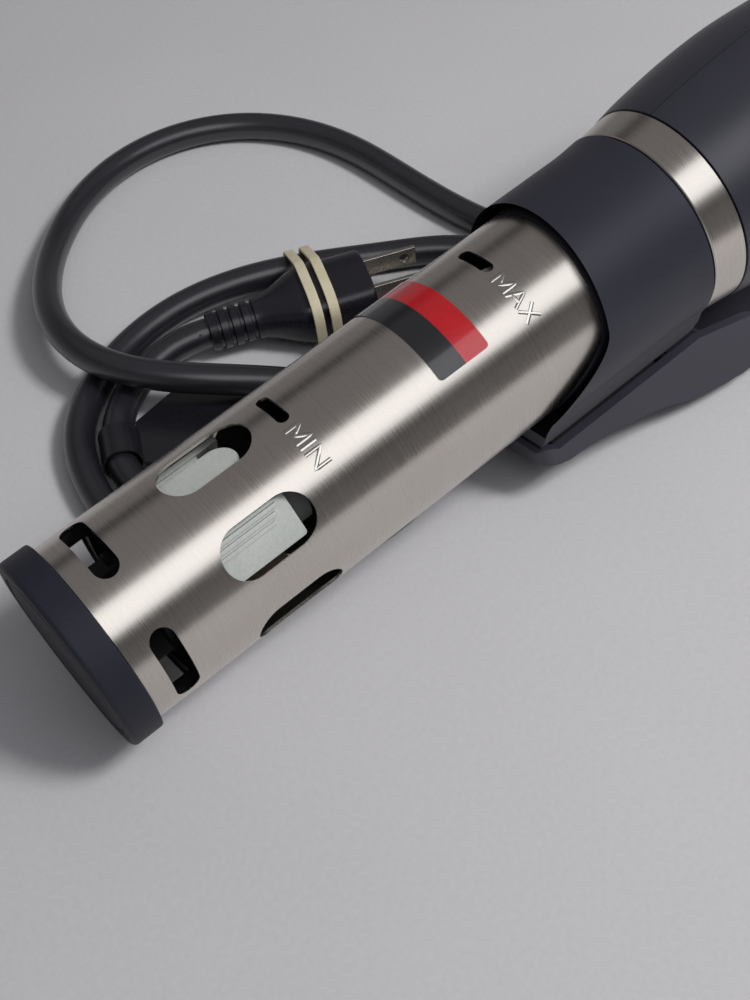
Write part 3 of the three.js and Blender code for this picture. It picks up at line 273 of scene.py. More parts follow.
def addNode(material, kind, settings=None, links=None):
    node = material.node_tree.nodes.new("ShaderNode" + kind)
    for key, value in (settings or {}).items():
        if isinstance(key, str) and hasattr(node, key):
            setattr(node, key, value)
        else:
            node.inputs[key].default_value = value
    for key, source in (links or {}).items():
        material.node_tree.links.new(source, node.inputs[key])
    return node


def objectSpace(material, rotation):
    coords = addNode(material, "TexCoord")
    return addNode(material, "Mapping", {"Rotation": rotation}, {"Vector": coords.outputs["Object"]})


sockets = {"metallic": "Metallic", "ior": "IOR", "specular": "Specular IOR Level", "coat": "Coat Weight",
           "coatRough": "Coat Roughness", "waxy": "Subsurface Weight", "anisotropic": "Anisotropic"}


# A finish whose colour, roughness and relief come from one fine and one broad pattern
def surface(name, **look):
    material = bpy.data.materials.new(name)
    material.use_nodes = True
    shader = material.node_tree.nodes["Principled BSDF"]
    for key, socket in sockets.items():
        if key in look:
            shader.inputs[socket].default_value = look[key]
    lined = objectSpace(material, toolTurn if look.get("alongTool") else (0, 0, 0))
    grain = look["grain"]
    stretch = [1 / (grain * f * mm) for f in look.get("stretch", (1, 1, 1))]
    fineSpace = addNode(material, "Mapping", {"Scale": stretch}, {"Vector": lined.outputs[0]})
    fine = addNode(material, "TexNoise", {"Scale": 1.0, "Detail": look.get("detail", 3.0), "Roughness": 0.6},
                   {"Vector": fineSpace.outputs[0]})
    broad = addNode(material, "TexNoise", {"Scale": 1 / (look["patch"] * mm), "Detail": 2.0},
                    {"Vector": lined.outputs[0]})
    blended = addNode(material, "Mix", {"data_type": "FLOAT", 0: look.get("broadShare", 0.4)},
                      {2: fine.outputs[0], 3: broad.outputs[0]})
    colour = addNode(material, "ValToRGB", {}, {"Fac": blended.outputs[0]})
    low, high = 0.3, 0.7  # noise seldom leaves this range
    for stop, place, tone in zip(colour.color_ramp.elements, (low, high), (look["dark"], look["light"])):
        stop.position, stop.color = place, linear(tone)
    rough = addNode(material, "MapRange", {"From Min": low, "From Max": high, "To Min": look["rough"][0],
                                           "To Max": look["rough"][1]}, {"Value": blended.outputs[0]})
    bump = addNode(material, "Bump", {"Strength": look["relief"], "Distance": look.get("height", 0.03) * mm},
                   {"Height": fine.outputs[0]})
    links = material.node_tree.links
    links.new(colour.outputs[0], shader.inputs["Base Color"])
    links.new(rough.outputs[0], shader.inputs["Roughness"])
    links.new(bump.outputs[0], shader.inputs["Normal"])
    if look.get("anisotropic"):
        tangent = addNode(material, "CombineXYZ", {"X": toolAim.x, "Y": toolAim.y, "Z": toolAim.z})
        links.new(tangent.outputs[0], shader.inputs["Tangent"])
    return material


# Stainless steel, brushed round the tube: fine scratches that stretch the lights along the axis
brushedSteel = surface("brushedStainlessSteel", metallic=1, anisotropic=0.6, alongTool=True, grain=0.24,
                       stretch=(1, 70, 70), patch=30, detail=4.0, broadShare=0.3, dark="#ccc4bb", light="#dfd9d0",
                       rough=(0.24, 0.34), relief=0.09, height=0.012)
# The inside of the tube is left as drawn: dull and grey
drawnInside = surface("drawnSteelInside", metallic=1, alongTool=True, grain=0.5, stretch=(14, 1, 1), patch=16,
                      dark="#5b5853", light="#716e68", rough=(0.42, 0.55), relief=0.15, height=0.02)
# The raised level words catch the light on their polished tops
stampedSteel = surface("stampedStainlessSteel", metallic=1, alongTool=True, grain=0.3, patch=6, dark="#cfcac3",
                       light="#e2dfd8", rough=(0.16, 0.24), relief=0.1, height=0.01)
# Drawn stainless rods and pins, with a plain satin gloss
drawnSteel = surface("drawnStainlessSteel", metallic=1, alongTool=True, grain=0.5, stretch=(14, 1, 1), patch=12,
                     dark="#8f8c87", light="#b3b0aa", rough=(0.25, 0.38), relief=0.12, height=0.02)
# Moulded ABS with a fine spark-eroded texture: satin, slightly blue-violet charcoal
charcoalAbs = surface("mouldedCharcoalAbs", ior=1.53, specular=0.4, alongTool=True, grain=0.45, patch=34,
                      broadShare=0.5, dark="#26262f", light="#30303b", rough=(0.42, 0.52), relief=0.16)
# The lever is the same ABS, painted paler: painted light standing in for the brighter light its flank catches from
# the table and lamps
leverAbsPaintedLight = surface("charcoalAbsPaintedLight", ior=1.53, specular=0.5, alongTool=True, grain=0.45, patch=30,
                    broadShare=0.5, dark="#2e2d37", light="#3a3944", rough=(0.4, 0.5), relief=0.16)
# The head is polished a little finer than the collar
satinAbs = surface("satinCharcoalAbs", ior=1.53, specular=0.75, alongTool=True, grain=0.4, patch=34, broadShare=0.5,
                   dark="#26262f", light="#30303b", rough=(0.34, 0.44), relief=0.14)
# The end cap: a tougher nylon, duller and a little bluer
capNylon = surface("mouldedNylonCap", ior=1.53, specular=0.3, alongTool=True, grain=0.5, patch=20, broadShare=0.5,
                   dark="#1f2029", light="#282a34", rough=(0.5, 0.62), relief=0.2)
# Black polyamide of the hidden wet parts
blackNylon = surface("blackGlassFilledNylon", ior=1.53, alongTool=True, grain=0.6, patch=14, dark="#0f0f12",
                     light="#1a1a1e", rough=(0.5, 0.66), relief=0.2)
# Natural polypropylene: pale, greenish white, slightly waxy
palePolymer = surface("naturalPolypropylene", ior=1.49, waxy=0.05, alongTool=True, grain=0.8, patch=16,
                      dark="#b1b3ae", light="#c8cac5", rough=(0.38, 0.5), relief=0.1)
# PVC cord jacket: extruded, satin, with faint marks that run along it
cordJacket = surface("extrudedPvcJacket", ior=1.54, specular=0.8, coat=0.3, coatRough=0.24, grain=0.8, patch=22,
                     broadShare=0.5, dark="#17161b", light="#242229", rough=(0.28, 0.38), relief=0.14, height=0.04)
# The plug is the same PVC, moulded glossier
plugPvc = surface("mouldedPvcPlug", ior=1.54, grain=0.7, patch=10, dark="#17161c", light="#211f27",
                  rough=(0.22, 0.34), relief=0.1)
# Nickel-plated brass contacts: pale warm grey with a rubbed gloss
platedBrass = surface("nickelPlatedBrass", metallic=1, grain=0.8, patch=5, dark="#b4aea2", light="#d3cec4",
                      rough=(0.22, 0.34), relief=0.06, height=0.01)
# Natural rubber band: cream, dull, with fine stretch lines
naturalRubber = surface("naturalRubberBand", ior=1.52, waxy=0.08, grain=0.4, patch=6, dark="#c9bb9a",
                        light="#e3d8bd", rough=(0.55, 0.7), relief=0.25, height=0.04)
# Laminated vinyl flag tag: thin and glossy
vinylTag = surface("laminatedVinylTag", ior=1.5, coat=0.4, coatRough=0.2, grain=1.1, patch=9, dark="#141318",
                   light="#1f1e24", rough=(0.26, 0.4), relief=0.2, height=0.06)
# Silicone pads and gaskets: soft matte black
siliconeRubber = surface("mouldedSilicone", ior=1.41, grain=0.5, patch=12, dark="#1c1c1f", light="#29292d",
                         rough=(0.66, 0.8), relief=0.2, height=0.04)
# Soft-touch buttons
softTouch = surface("softTouchButton", ior=1.5, grain=0.4, patch=4, dark="#5d5e63", light="#74757a",
                    rough=(0.55, 0.68), relief=0.16, height=0.02)
# Smoked acrylic of the display, off
smokedAcrylic = surface("smokedAcrylic", ior=1.49, coat=0.6, coatRough=0.06, grain=0.8, patch=12, dark="#07070a",
                        light="#0e0e13", rough=(0.08, 0.16), relief=0.02, height=0.01)
# Extruded aluminium
aluminium = surface("extrudedAluminium", metallic=1, alongTool=True, grain=0.6, stretch=(10, 1, 1), patch=8,
                    dark="#989b9f", light="#b7babd", rough=(0.34, 0.48), relief=0.15, height=0.02)
# Green solder mask over glass fibre
solderMask = surface("greenSolderMask", ior=1.5, grain=1.2, patch=7, dark="#17492c", light="#24683f",
                     rough=(0.35, 0.5), relief=0.15)
# Brass of the lower bush
turnedBrass = surface("turnedBrass", metallic=1, alongTool=True, grain=0.5, patch=6, dark="#a88d4f",
                      light="#c9ae6e", rough=(0.25, 0.38), relief=0.1, height=0.02)
# Enamelled copper windings of the rotor
copperWinding = surface("enamelledCopper", metallic=1, alongTool=True, grain=0.7, stretch=(1, 20, 20), patch=6,
                        dark="#7d3d1e", light="#ad5f34", rough=(0.3, 0.42), relief=0.5, height=0.2)


# The sleeve's film label: red towards the head, black towards the end cap
def labelFilm(split, soft):
    material = surface("printedPolyesterLabel", ior=1.5, coat=0.9, coatRough=0.1, alongTool=True, grain=0.7,
                       patch=8, dark="#a60d16", light="#bd141d", rough=(0.3, 0.4), relief=0.05, height=0.01)
    links = material.node_tree.links
    shader = material.node_tree.nodes["Principled BSDF"]
    # X runs along the tool once the coordinates are turned
    lined = objectSpace(material, toolTurn)
    apart = addNode(material, "SeparateXYZ", {}, {0: lined.outputs[0]})
    side = addNode(material, "MapRange", {"From Min": split - soft, "From Max": split + soft},
                   {"Value": apart.outputs[0]})
    red = shader.inputs["Base Color"].links[0].from_socket
    mixed = addNode(material, "Mix", {"data_type": "RGBA", 6: linear("#1b1b1f")},
                    {0: side.outputs[0], 7: red})
    links.new(mixed.outputs[2], shader.inputs["Base Color"])
    return material


print("materials ready")


def finish(piece, material, slotName, body, *nodes, place=toolPlace, angle=32):
    if place:
        moveMesh(piece, place)
    piece.data.materials.clear()
    piece.data.materials.append(material)
    makeActive(piece)
    bpy.ops.object.shade_smooth_by_angle(angle=radians(angle))
    modify(piece, "WEIGHTED_NORMAL", keep_sharp=True, weight=80)  # broad faces stay true up to their rounded edges
    if nodes:
        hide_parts(*nodes)
    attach(piece, body)
    return piece


# Sleeve: a thin tube with four outlets, six windows and two level slots
sleeveSizes = {"radius": 25.5, "wall": 0.8, "start": 9.1, "end": 203, "outlet": (18.4, 6.8, 23.3, 4),
               "window": (53, 26.4, 14, 6), "marks": (74, 140.6), "mark": (3.6, 12.2), "edge": 0.14, "sides": 192,
               "cut": (-9, 3)}


def radialSlot(x, length, width, angle):
    corner = min(length, width) / 2 - 0.02
    low, high = (sleeveSizes["radius"] + reach for reach in sleeveSizes["cut"])
    tool = roundedPlate("slotTool", length, width, corner, low, high, 10)
    return moveMesh(tool, Matrix.Rotation(angle, 4, "X") @ moved(x))


def makeSleeve():
    s = sleeveSizes
    inner = s["radius"] - s["wall"]
    sleeve = turnedPiece("steelSleeve", [(s["start"], inner), (s["start"], s["radius"]), (s["end"], s["radius"]),
                                         (s["end"], inner)], s["sides"])
    tools = []
    for x, length, width, count in (s["outlet"], s["window"]):
        tools += [radialSlot(x, length, width, a) for a in around(count)]
    tools += [radialSlot(x, *s["mark"], 0) for x in s["marks"]]
    cutAway(sleeve, joinPieces(*tools))
    roundEdges(sleeve, s["edge"], 2, 50)
    insideFaces = [face.index for face in sleeve.data.polygons
                   if hypot(face.center.y, face.center.z) < (inner + 0.2) * mm]
    finish(sleeve, brushedSteel, "brushed_steel", "root", "steel_sleeve")
    sleeve.data.materials.append(drawnInside)
    for number in insideFaces:
        sleeve.data.polygons[number].material_index = 1
    return sleeve


# Level words: round bars laid on the sleeve, tops towards the head
wordSizes = {"bar": 0.58, "sink": 0.06, "flatten": 0.36, "height": 4.7,
             "words": {"minimum": (71.5, 19.2, [("M", 9.8), ("I", 0), ("N", 9.4)], 3.0),
                       "maximum": (138.1, 19.2, [("M", 10.2), ("A", 9.6), ("X", 8.6)], 1.9)}}
strokes = {"M": [[(0, 0), (0, 1), (0.5, 0.25), (1, 1), (1, 0)]], "I": [[(0, 0), (0, 1)]],
           "N": [[(0, 0), (0, 1), (1, 0), (1, 1)]], "A": [[(0, 0), (0.5, 1), (1, 0)], [(0.2, 0.36), (0.8, 0.36)]],
           "X": [[(0, 0), (1, 1)], [(0, 1), (1, 0)]]}


def makeWords():
    s = wordSizes
    radius = sleeveSizes["radius"] - s["sink"]
    pieces = []
    for word, (start, angle, letters, gap) in s["words"].items():
        line = roundBar(word, s["bar"], 3)
        for letter, width in letters:
            for stroke in strokes[letter]:
                fine = []
                for (a, b), (c, d) in zip(stroke, stroke[1:]):
                    fine += [(a + (c - a) * k / 6, b + (d - b) * k / 6) for k in range(6)]
                fine.append(stroke[-1])
                places = []
                for across, up in fine:
                    turn = radians(angle + across * width)
                    places.append(((start + up * s["height"]) * mm, -radius * sin(turn) * mm,
                                   radius * cos(turn) * mm))
                addSpline(line, places)
            angle += width + gap * (1.2 if width else 1.4)
        piece = convertToMesh(addObject(word + "LevelWord", line))
        for vertex in piece.data.vertices:  # a round bar pressed flat on the sleeve
            far = hypot(vertex.co.y, vertex.co.z)
            near = radius * mm + (far - radius * mm) * s["flatten"]
            vertex.co.y, vertex.co.z = vertex.co.y * near / far, vertex.co.z * near / far
        pieces.append(piece)
    return [finish(tidyMesh(piece), stampedSteel, "brushed_steel", "root") for piece in pieces]


# Label: a strip of film wrapped on the sleeve, left blank
labelSizes = {"start": 110.3, "end": 126.4, "angle": 98, "lift": 0.06, "film": 0.2, "corner": 1.2, "split": 118.6,
              "soft": 0.08}


def makeLabel():
    s = labelSizes
    reach = sleeveSizes["radius"] + s["lift"]
    arc = radians(s["angle"]) * reach
    label = roundedPlate("sleeveLabel", s["end"] - s["start"], arc, s["corner"], 0, s["film"], 6)
    for k in range(1, 40):
        editAll(label)
        cut = (-arc / 2 + arc * k / 40) * mm
        bpy.ops.mesh.bisect(plane_co=(0, cut, 0), plane_no=(0, 1, 0))
    clearSelection()
    for vertex in label.data.vertices:
        x, y, z = vertex.co
        turn = y / (reach * mm)
        radius = reach * mm + z
        vertex.co = ((s["start"] + s["end"]) / 2 * mm + x, radius * sin(turn), radius * cos(turn))
    film = labelFilm((s["split"] - lying["middle"] * cos(tilt) + sin(tilt) * lift) * mm, s["soft"] * mm)
    return finish(tidyMesh(label), film, "label_film", "root", "sleeve_label")


makeSleeve()
makeWords()
makeLabel()
print("sleeve, words and label done")

# End cap
capSizes = {"radius": 27.5, "height": 8.8, "round": 1.5, "skirt": 24.4, "skirtTop": 13, "skirtInner": 22.2,
            "floor": 3}


def makeCap():
    s = capSizes
    r = s["round"]
    rim = [(r - r * sin(a), s["radius"] - r + r * cos(a)) for a in [radians(90 - 15 * k) for k in range(7)]]
    profile = [(0, 1), (0, 21.6), (0.35, 22), (0.35, 23.2), (0, 23.6), *rim, (s["height"] - 0.5, s["radius"]),
               (s["height"] - 0.15, s["radius"] - 0.15), (s["height"], s["radius"] - 0.5),
               (s["height"], s["skirt"]), (s["skirtTop"], s["skirt"]), (s["skirtTop"], s["skirtInner"]),
               (s["floor"], s["skirtInner"]), (s["floor"], 1)]
    return finish(turnedPiece("endCap", profile, 128, bored=False), capNylon, "charcoal_plastic", "cap", "end_cap")


makeCap()

# Flow guide: a pierced base, a spine tube and six vanes, every other one ribbed
guideSizes = {"base": (28.7, 32.3), "radius": 24.4, "spine": 8.6, "spineEnd": 70.2, "bore": 5.5, "face": 21.5,
              "vane": (11, 1.6, 60.5), "hole": (2.6, 13.4), "rib": (1.1, 1.9, 3, 1.2)}


def makeGuide():
    s = guideSizes
    start, floor = s["base"]
    width, thick, end = s["vane"]
    base = turnedPiece("flowGuide", [(start, s["bore"]), (start, s["radius"]), (floor, s["radius"]),
                                     (floor, s["spine"]), (s["spineEnd"], s["spine"]),
                                     (s["spineEnd"], s["bore"])])
    holes = []
    for angle in around(6):
        hole = cylinder("hole", s["hole"][0], 12, (start, 0, s["hole"][1]), alongX, 24)
        holes.append(moveMesh(hole, Matrix.Rotation(angle + pi / 6, 4, "X")))
    cutAway(base, joinPieces(*holes))
    parts = []
    for number, angle in enumerate(around(6)):
        ribbed = number % 2 == 1
        length = end - floor
        corner = 1 if ribbed else width / 2 - 0.05
        reach = 1.4 if ribbed else 0
        vane = roundedPlate("vane", length + 1 + reach, width + reach, corner, s["face"] - thick, s["face"], 10)
        roundEdges(vane, 0.35, 2)
        moveMesh(vane, moved((floor + end + reach) / 2))
        group = [vane]
        for side in (-1, 1):
            group.append(block("web", (floor - 0.4, side * (width / 2 - 0.8) - 0.7, s["face"] - 4.4),
                               (end - 5, side * (width / 2 - 0.8) + 0.7, s["face"] - thick / 2)))
        if ribbed:
            for k in range(s["rib"][2]):
                low = width / 2 - 0.2 - k * s["rib"][1]
                rib = block("rib", (floor - 0.4, low - s["rib"][0], s["face"] - 0.4),
                            (end - 1 - k * 1.2, low, s["face"] + s["rib"][3] - 0.25 * k))
                group.append(roundEdges(rib, 0.2, 2))
        group.append(block("foot", (floor - 0.6, -width / 2, s["face"] - thick - 0.2),
                           (floor + 3.4, width / 2, s["face"])))
        parts.append(moveMesh(joinPieces(*group), Matrix.Rotation(angle, 4, "X")))
    return finish(joinPieces(base, *parts), palePolymer, "pale_plastic", "root", "flow_guide")


makeGuide()
print("cap and flow guide done")

# Clamp collar: a barrel and a keel, cut by the lower rim, with two hinge lugs
collarSizes = {"radius": 28.7, "flare": 29.3, "tip": 135, "side": 155.6, "slope": 0.15, "top": 193.6, "edge": 0.8,
               "bore": 25.8, "keel": 28.6, "half": 17.8, "pivot": (197, 42), "lug": (8, 13, 5.6), "pin": 2.3}


def rimAt(depth):
    s = collarSizes
    t = min(max((depth + 3.5) / 26.4, 0), 1)
    return s["tip"] + (s["side"] - s["slope"] * depth - s["tip"]) * (1 - t * t * (3 - 2 * t))


def makeCollar():
    s = collarSizes
    tip, top = s["tip"], s["top"]
    barrel = turnedPiece("clampCollar", [(tip, 1), (tip, s["radius"]), (top - 9, s["radius"]), (top - 5, 28.9),
                                         (top - s["edge"], s["flare"]), (top, s["flare"] - s["edge"]), (top, 1)],
                         160, bored=False)
    half = s["half"]
    corner = (s["radius"] * cos(0.2), s["radius"] * sin(0.2))
    outline = [(-corner[0], -corner[1]), (-half, 1 - s["keel"]), (1 - half, -s["keel"]), (half - 1, -s["keel"]),
               (half, 1 - s["keel"]), (corner[0], -corner[1])]
    keel = outlinePlate("keel", outline, 0, top - tip)
    moveMesh(keel, moved(tip) @ axes((0, 1, 0), (0, 0, 1), (1, 0, 0)))
    chamfer = [(top - 5, 29.6), (top - 1.5, 26.6), (top + 1, 23.6), (top + 1, 29.6)]
    cutAway(keel, sidePlate("chamfer", chamfer, -26, 26))
    boolean(barrel, keel, "UNION")
    depths = [-31 + i * 1.6 for i in range(42)]
    rim = [(rimAt(d), d) for d in depths]
    waste = sidePlate("belowRim", [*rim, (tip - 20, depths[-1]), (tip - 20, depths[0])], -40, 40)
    bore = cylinder("bore", s["bore"], 90, (165, 0, 0), alongX, 160)
    cutAway(barrel, bore, waste)
    roundEdges(barrel, 0.45, 3, 40)
    inner, outer, radius = s["lug"]
    px, pd = s["pivot"]
    points = [(px - 15, s["keel"] - 0.6)]
    points += [(px + radius * cos(radians(a)), pd + radius * sin(radians(a))) for a in range(145, -36, -10)]
    points.append((top - 5 + 2.8, s["keel"] - 0.6))
    for left, right in ((inner, outer), (-outer, -inner)):
        lug = roundEdges(sidePlate("lug", points, left, right), 0.5, 2)
        cutAway(lug, cylinder("pinHole", s["pin"], 60, (px, 0, -pd), alongY, 32))
        joinPieces(barrel, lug)
    return finish(barrel, charcoalAbs, "charcoal_plastic", "root", "clamp_collar")


makeCollar()
print("collar done")

# Clip lever: a crowned arm, hollowed towards the collar
leverSizes = {"half": 17.8, "flat": 6, "drop": 2.2, "inner": 14.8, "web": 2.8, "shelf": 34.6, "tip": 133.8,
              "end": 268, "heel": (209, 59.6), "pivot": (197, 42), "groove": 32.4, "keel": 28.6, "edge": 0.7,
              "tipCorner": 3.6, "channel": 181, "seat": (138.7, 182), "above": -20}


def makeLever():
    s = leverSizes
    px, pd = s["pivot"]
    hx, hd = s["heel"]
    tip, end, g = s["tip"], s["end"], s["groove"]
    back = [(tip, g + 2.6), (tip + 4.8, g + 5.1), (tip + 8.4, g + 6.4), (tip + 16, g + 7.1), (tip + 27.2, g + 9.2),
            (tip + 38.5, g + 12.5), (tip + 45.9, g + 15.3), (px - 9.7, pd + 9.5), (px - 2.5, pd + 12.1),
            (px + 4.3, pd + 13.9), (hx - 3, hd - s["drop"] - 0.7), (hx, hd - s["drop"]), (hx + 4, hd - s["drop"]),
            (end - 3, hd + 1.9), (end, hd + 1.2)]
    front = [(end, hd + 0.2), (end - 3, hd - 1), (px + 45, pd + 13.4), (px + 35, pd + 8.4), (px + 25, pd + 1.6),
             (px + 17.3, pd - 3.5), (px + 11.2, pd - 5.4), (px + 5.3, pd - 7.3), (px - 2.6, g), (tip + 6, g),
             (tip + 3.2, s["keel"] + 1.6), (tip + 1, s["keel"] + 1.4), (tip, s["keel"] + 2.6)]

    def section(y, drop):
        return ([(x, y, -(d + s["drop"] - drop)) for x, d in back] + [(x, y, -d) for x, d in front])

    rings = [section(-s["half"], s["drop"]), section(-12, 1.1), section(-s["flat"], 0), section(s["flat"], 0),
             section(12, 1.1), section(s["half"], s["drop"])]
    lever = loftedPiece("clipLever", rings)
    webFace = [(x, d - s["web"]) for x, d in back[3:]]
    start, (low, high), above = s["channel"], s["seat"], s["above"]
    channel = sidePlate("channel", [(start, -above), (start, s["shelf"] + 2), (webFace[0][0] - 6, s["shelf"] + 2),
                                    *webFace, (end + 5, hd - 2), (end + 5, -above)], -s["inner"], s["inner"])
    seat = block("padSeat", (low, -s["inner"], -s["shelf"]), (high, s["inner"], above))
    bore = cylinder("bore", 2.3, 33.8, (px, 0, -pd), alongY, 32)
    cutAway(lever, channel, seat, bore)
    # the tip's two corners are rounded in plan
    far = end + 10
    plan = roundedPlate("plan", far - tip, 2 * s["half"] + 0.02, s["tipCorner"], -90, -10, 6)
    boolean(lever, moveMesh(plan, moved((tip + far) / 2)), "INTERSECT")
    roundEdges(lever, s["edge"], 3, 32)
    # painted light: the lever gets the collar's ABS in a paler colour
    return finish(lever, leverAbsPaintedLight, "charcoal_plastic", "lever", "clip_lever", angle=40)


makeLever()


def makePad(name, low, high, body, node):
    pad = block(name, low, high)
    # shallow grip grooves across the pad's gripping face
    face = low[2] if body == "root" else high[2]
    grooves = [block("groove", (x, low[1] - 1, face - 0.35), (x + 1, high[1] + 1, face + 0.35))
               for x in range(int(low[0]) + 4, int(high[0]) - 3, 4)]
    cutAway(pad, joinPieces(*grooves))
    roundEdges(pad, 0.18, 2)
    return finish(pad, siliconeRubber, "rubber", body, node)


makePad("fixedJawPad", (138, -14.2, -30), (180, 14.2, -28.9), "root", "fixed_jaw_pad")
makePad("leverPad", (140, -14.2, -34.3), (180, 14.2, -30.3), "lever", "lever_pad")
print("lever and pads done")

# Trim ring: a brushed steel band that widens towards the head
trimSizes = {"start": (193.9, 29), "end": (204.2, 30.2), "bore": 25.8}


def makeTrim():
    (xa, ra), (xb, rb), bore = trimSizes["start"], trimSizes["end"], trimSizes["bore"]
    profile = [(xa, bore), (xa, ra - 0.3), (xa + 0.3, ra), (xb - 0.3, rb), (xb, rb - 0.3), (xb, bore)]
    return finish(turnedPiece("trimRing", profile, 160), brushedSteel, "brushed_steel", "root", "trim_ring")


makeTrim()

# Head: two half shells that meet on the front centre line, and a sloping display face
headSizes = {"start": 204.5, "end": 324, "wall": 2.4, "slope": 46, "corner": (292, 31), "bezel": 2.6, "seam": 0.3,
             "gland": (10, 6.3),
             "profile": [(204.5, 30.5), (212, 31.8), (228.5, 33.5), (245, 34.2), (261, 33.5), (284, 31.6),
                         (302, 29.4), (314, 26.8), (320.5, 23.2), (324, 17)]}
slope = radians(headSizes["slope"])
panelNormal = Vector((cos(slope), 0, sin(slope)))
panelUp = Vector((sin(slope), 0, -cos(slope)))
panelCorner = Vector((headSizes["corner"][0], 0, headSizes["corner"][1]))
panelPlace = Matrix.Translation(panelCorner * mm) @ axes((0, 1, 0), panelUp, panelNormal)


def panelBlock(width, low, high, bottom, top, name="panelTool"):
    return moveMesh(block(name, (-width / 2, low, bottom), (width / 2, high, top)), panelPlace)


def panelRod(across, up, radius, bottom, top, name="panelRod", sides=48):
    rod = cylinder(name, radius, top - bottom, (across, up, (top + bottom) / 2), (0, 0, 0), sides)
    return moveMesh(rod, panelPlace)


def headBody(name, inset=0):
    s = headSizes
    line = smoothLine([(x, r - inset) for x, r in s["profile"]], 4)
    if inset:
        line = [(s["start"] - 1, line[0][1])] + [(x, r) for x, r in line if s["start"] < x < s["end"] - inset]
    return turnedPiece(name, [(line[0][0], 1), *line, (line[-1][0], 1)], 128, bored=False)


def makeShell(name, side, node):
    s = headSizes
    shell = cutAway(headBody(name), headBody("hollow", s["wall"]))
    cutAway(shell, panelBlock(180, -90, 90, -s["bezel"] - 0.3, 90))
    depth, radius = s["gland"]
    cutAway(shell, cylinder("cordHole", radius, 20, (s["end"] - 4, 0, -depth), alongX, 48))
    edge = side * s["seam"] / 2
    low, high = sorted((edge, edge - side * 60))
    cutAway(shell, block("half", (190, low, -60), (340, high, 60)))
    roundEdges(shell, 0.25, 2, 50)
    return finish(shell, satinAbs, "charcoal_plastic", "root", node)


makeShell("headLeftShell", -1, "head_left_shell")
makeShell("headRightShell", 1, "head_right_shell")
print("head shells done")

displaySizes = {"window": (30, 13, 30.5, 1.4), "button": (4, 15, 11), "post": (14.4, 22.6, 1.6), "gap": 0.3,
                "board": 7.3, "proud": 0.9, "capBase": (-3.8, -2.9), "deep": -9}


def makeDisplay():
    s, d = headSizes, displaySizes
    gap, deep, above = d["gap"], d["deep"], 5
    width, height, row, glass = d["window"]
    bezel = boolean(headBody("displayBezel"), panelBlock(180, -90, 90, -s["bezel"], 0), "INTERSECT")
    radius, buttonRow, spacing = d["button"]
    tools = [panelBlock(width + 2 * gap, row - height / 2 - gap, row + height / 2 + gap, -glass - gap, above),
             panelBlock(width - 4, row - height / 2 + 2, row + height / 2 - 2, deep, above)]
    tools += [panelRod(i * spacing, buttonRow, radius + gap, deep, above) for i in (-1, 0, 1)]
    cutAway(bezel, *tools)
    roundEdges(bezel, 0.4, 3, 40)
    for i in (-1, 1):
        post = panelRod(i * d["post"][0], d["post"][1], d["post"][2], -d["board"], -s["bezel"] + 0.5, sides=24)
        joinPieces(bezel, post)
    finish(bezel, satinAbs, "charcoal_plastic", "root", "head_top_bezel")
    glassPane = roundEdges(panelBlock(width, row - height / 2, row + height / 2, -glass, 0, "displayWindow"), 0.3, 3)
    finish(glassPane, smokedAcrylic, "display_glass", "root", "display_window")
    for i, (body, name) in enumerate((("minus", "minusButton"), ("start", "startButton"), ("plus", "plusButton"))):
        across = (i - 1) * spacing
        cap = panelRod(across, buttonRow, radius, d["capBase"][0], d["proud"], name, 64)
        roundEdges(cap, 0.5, 4)
        joinPieces(cap, panelRod(across, buttonRow, radius + 1, *d["capBase"]))
        bars = {"minus": [(2.8, 0.25)], "start": [], "plus": [(2.8, 0.25), (0.5, 1.4)]}
        for long, half in bars[body]:
            bar = panelBlock(long, buttonRow - half, buttonRow + half, d["proud"] - 0.1, d["proud"] + 0.12)
            joinPieces(cap, moveMesh(bar, moved(0, across)))
        finish(cap, softTouch, "button_plastic", body, body + "_button")


makeDisplay()

# Cord gland: a tapered, ribbed sleeve of rubber
glandSizes = {"start": 319.7, "neck": 6, "radius": 8, "bore": 5.15, "end": 354, "depth": 10, "ribs": 6}


def makeGland():
    s = glandSizes
    profile = [(s["start"], s["bore"]), (s["start"], 7), (s["start"] + 1.6, 7), (s["start"] + 1.6, s["neck"]),
               (324.3, s["neck"]), (324.3, s["radius"]), (328, s["radius"]), (328.6, 7.4)]
    for k in range(s["ribs"]):
        x = 330 + k * 3.8
        r = 7.3 - k * 0.2
        profile += [(x, r), (x + 0.3, r - 0.7), (x + 1.5, r - 0.7), (x + 1.8, r)]
    profile += [(s["end"] - 0.4, 6.0), (s["end"], 5.7), (s["end"], s["bore"])]
    gland = moveMesh(turnedPiece("cordGland", profile, 48), moved(0, 0, -s["depth"]))
    return finish(gland, siliconeRubber, "rubber", "root", "cord_gland")


makeGland()
print("head, display and gland done")

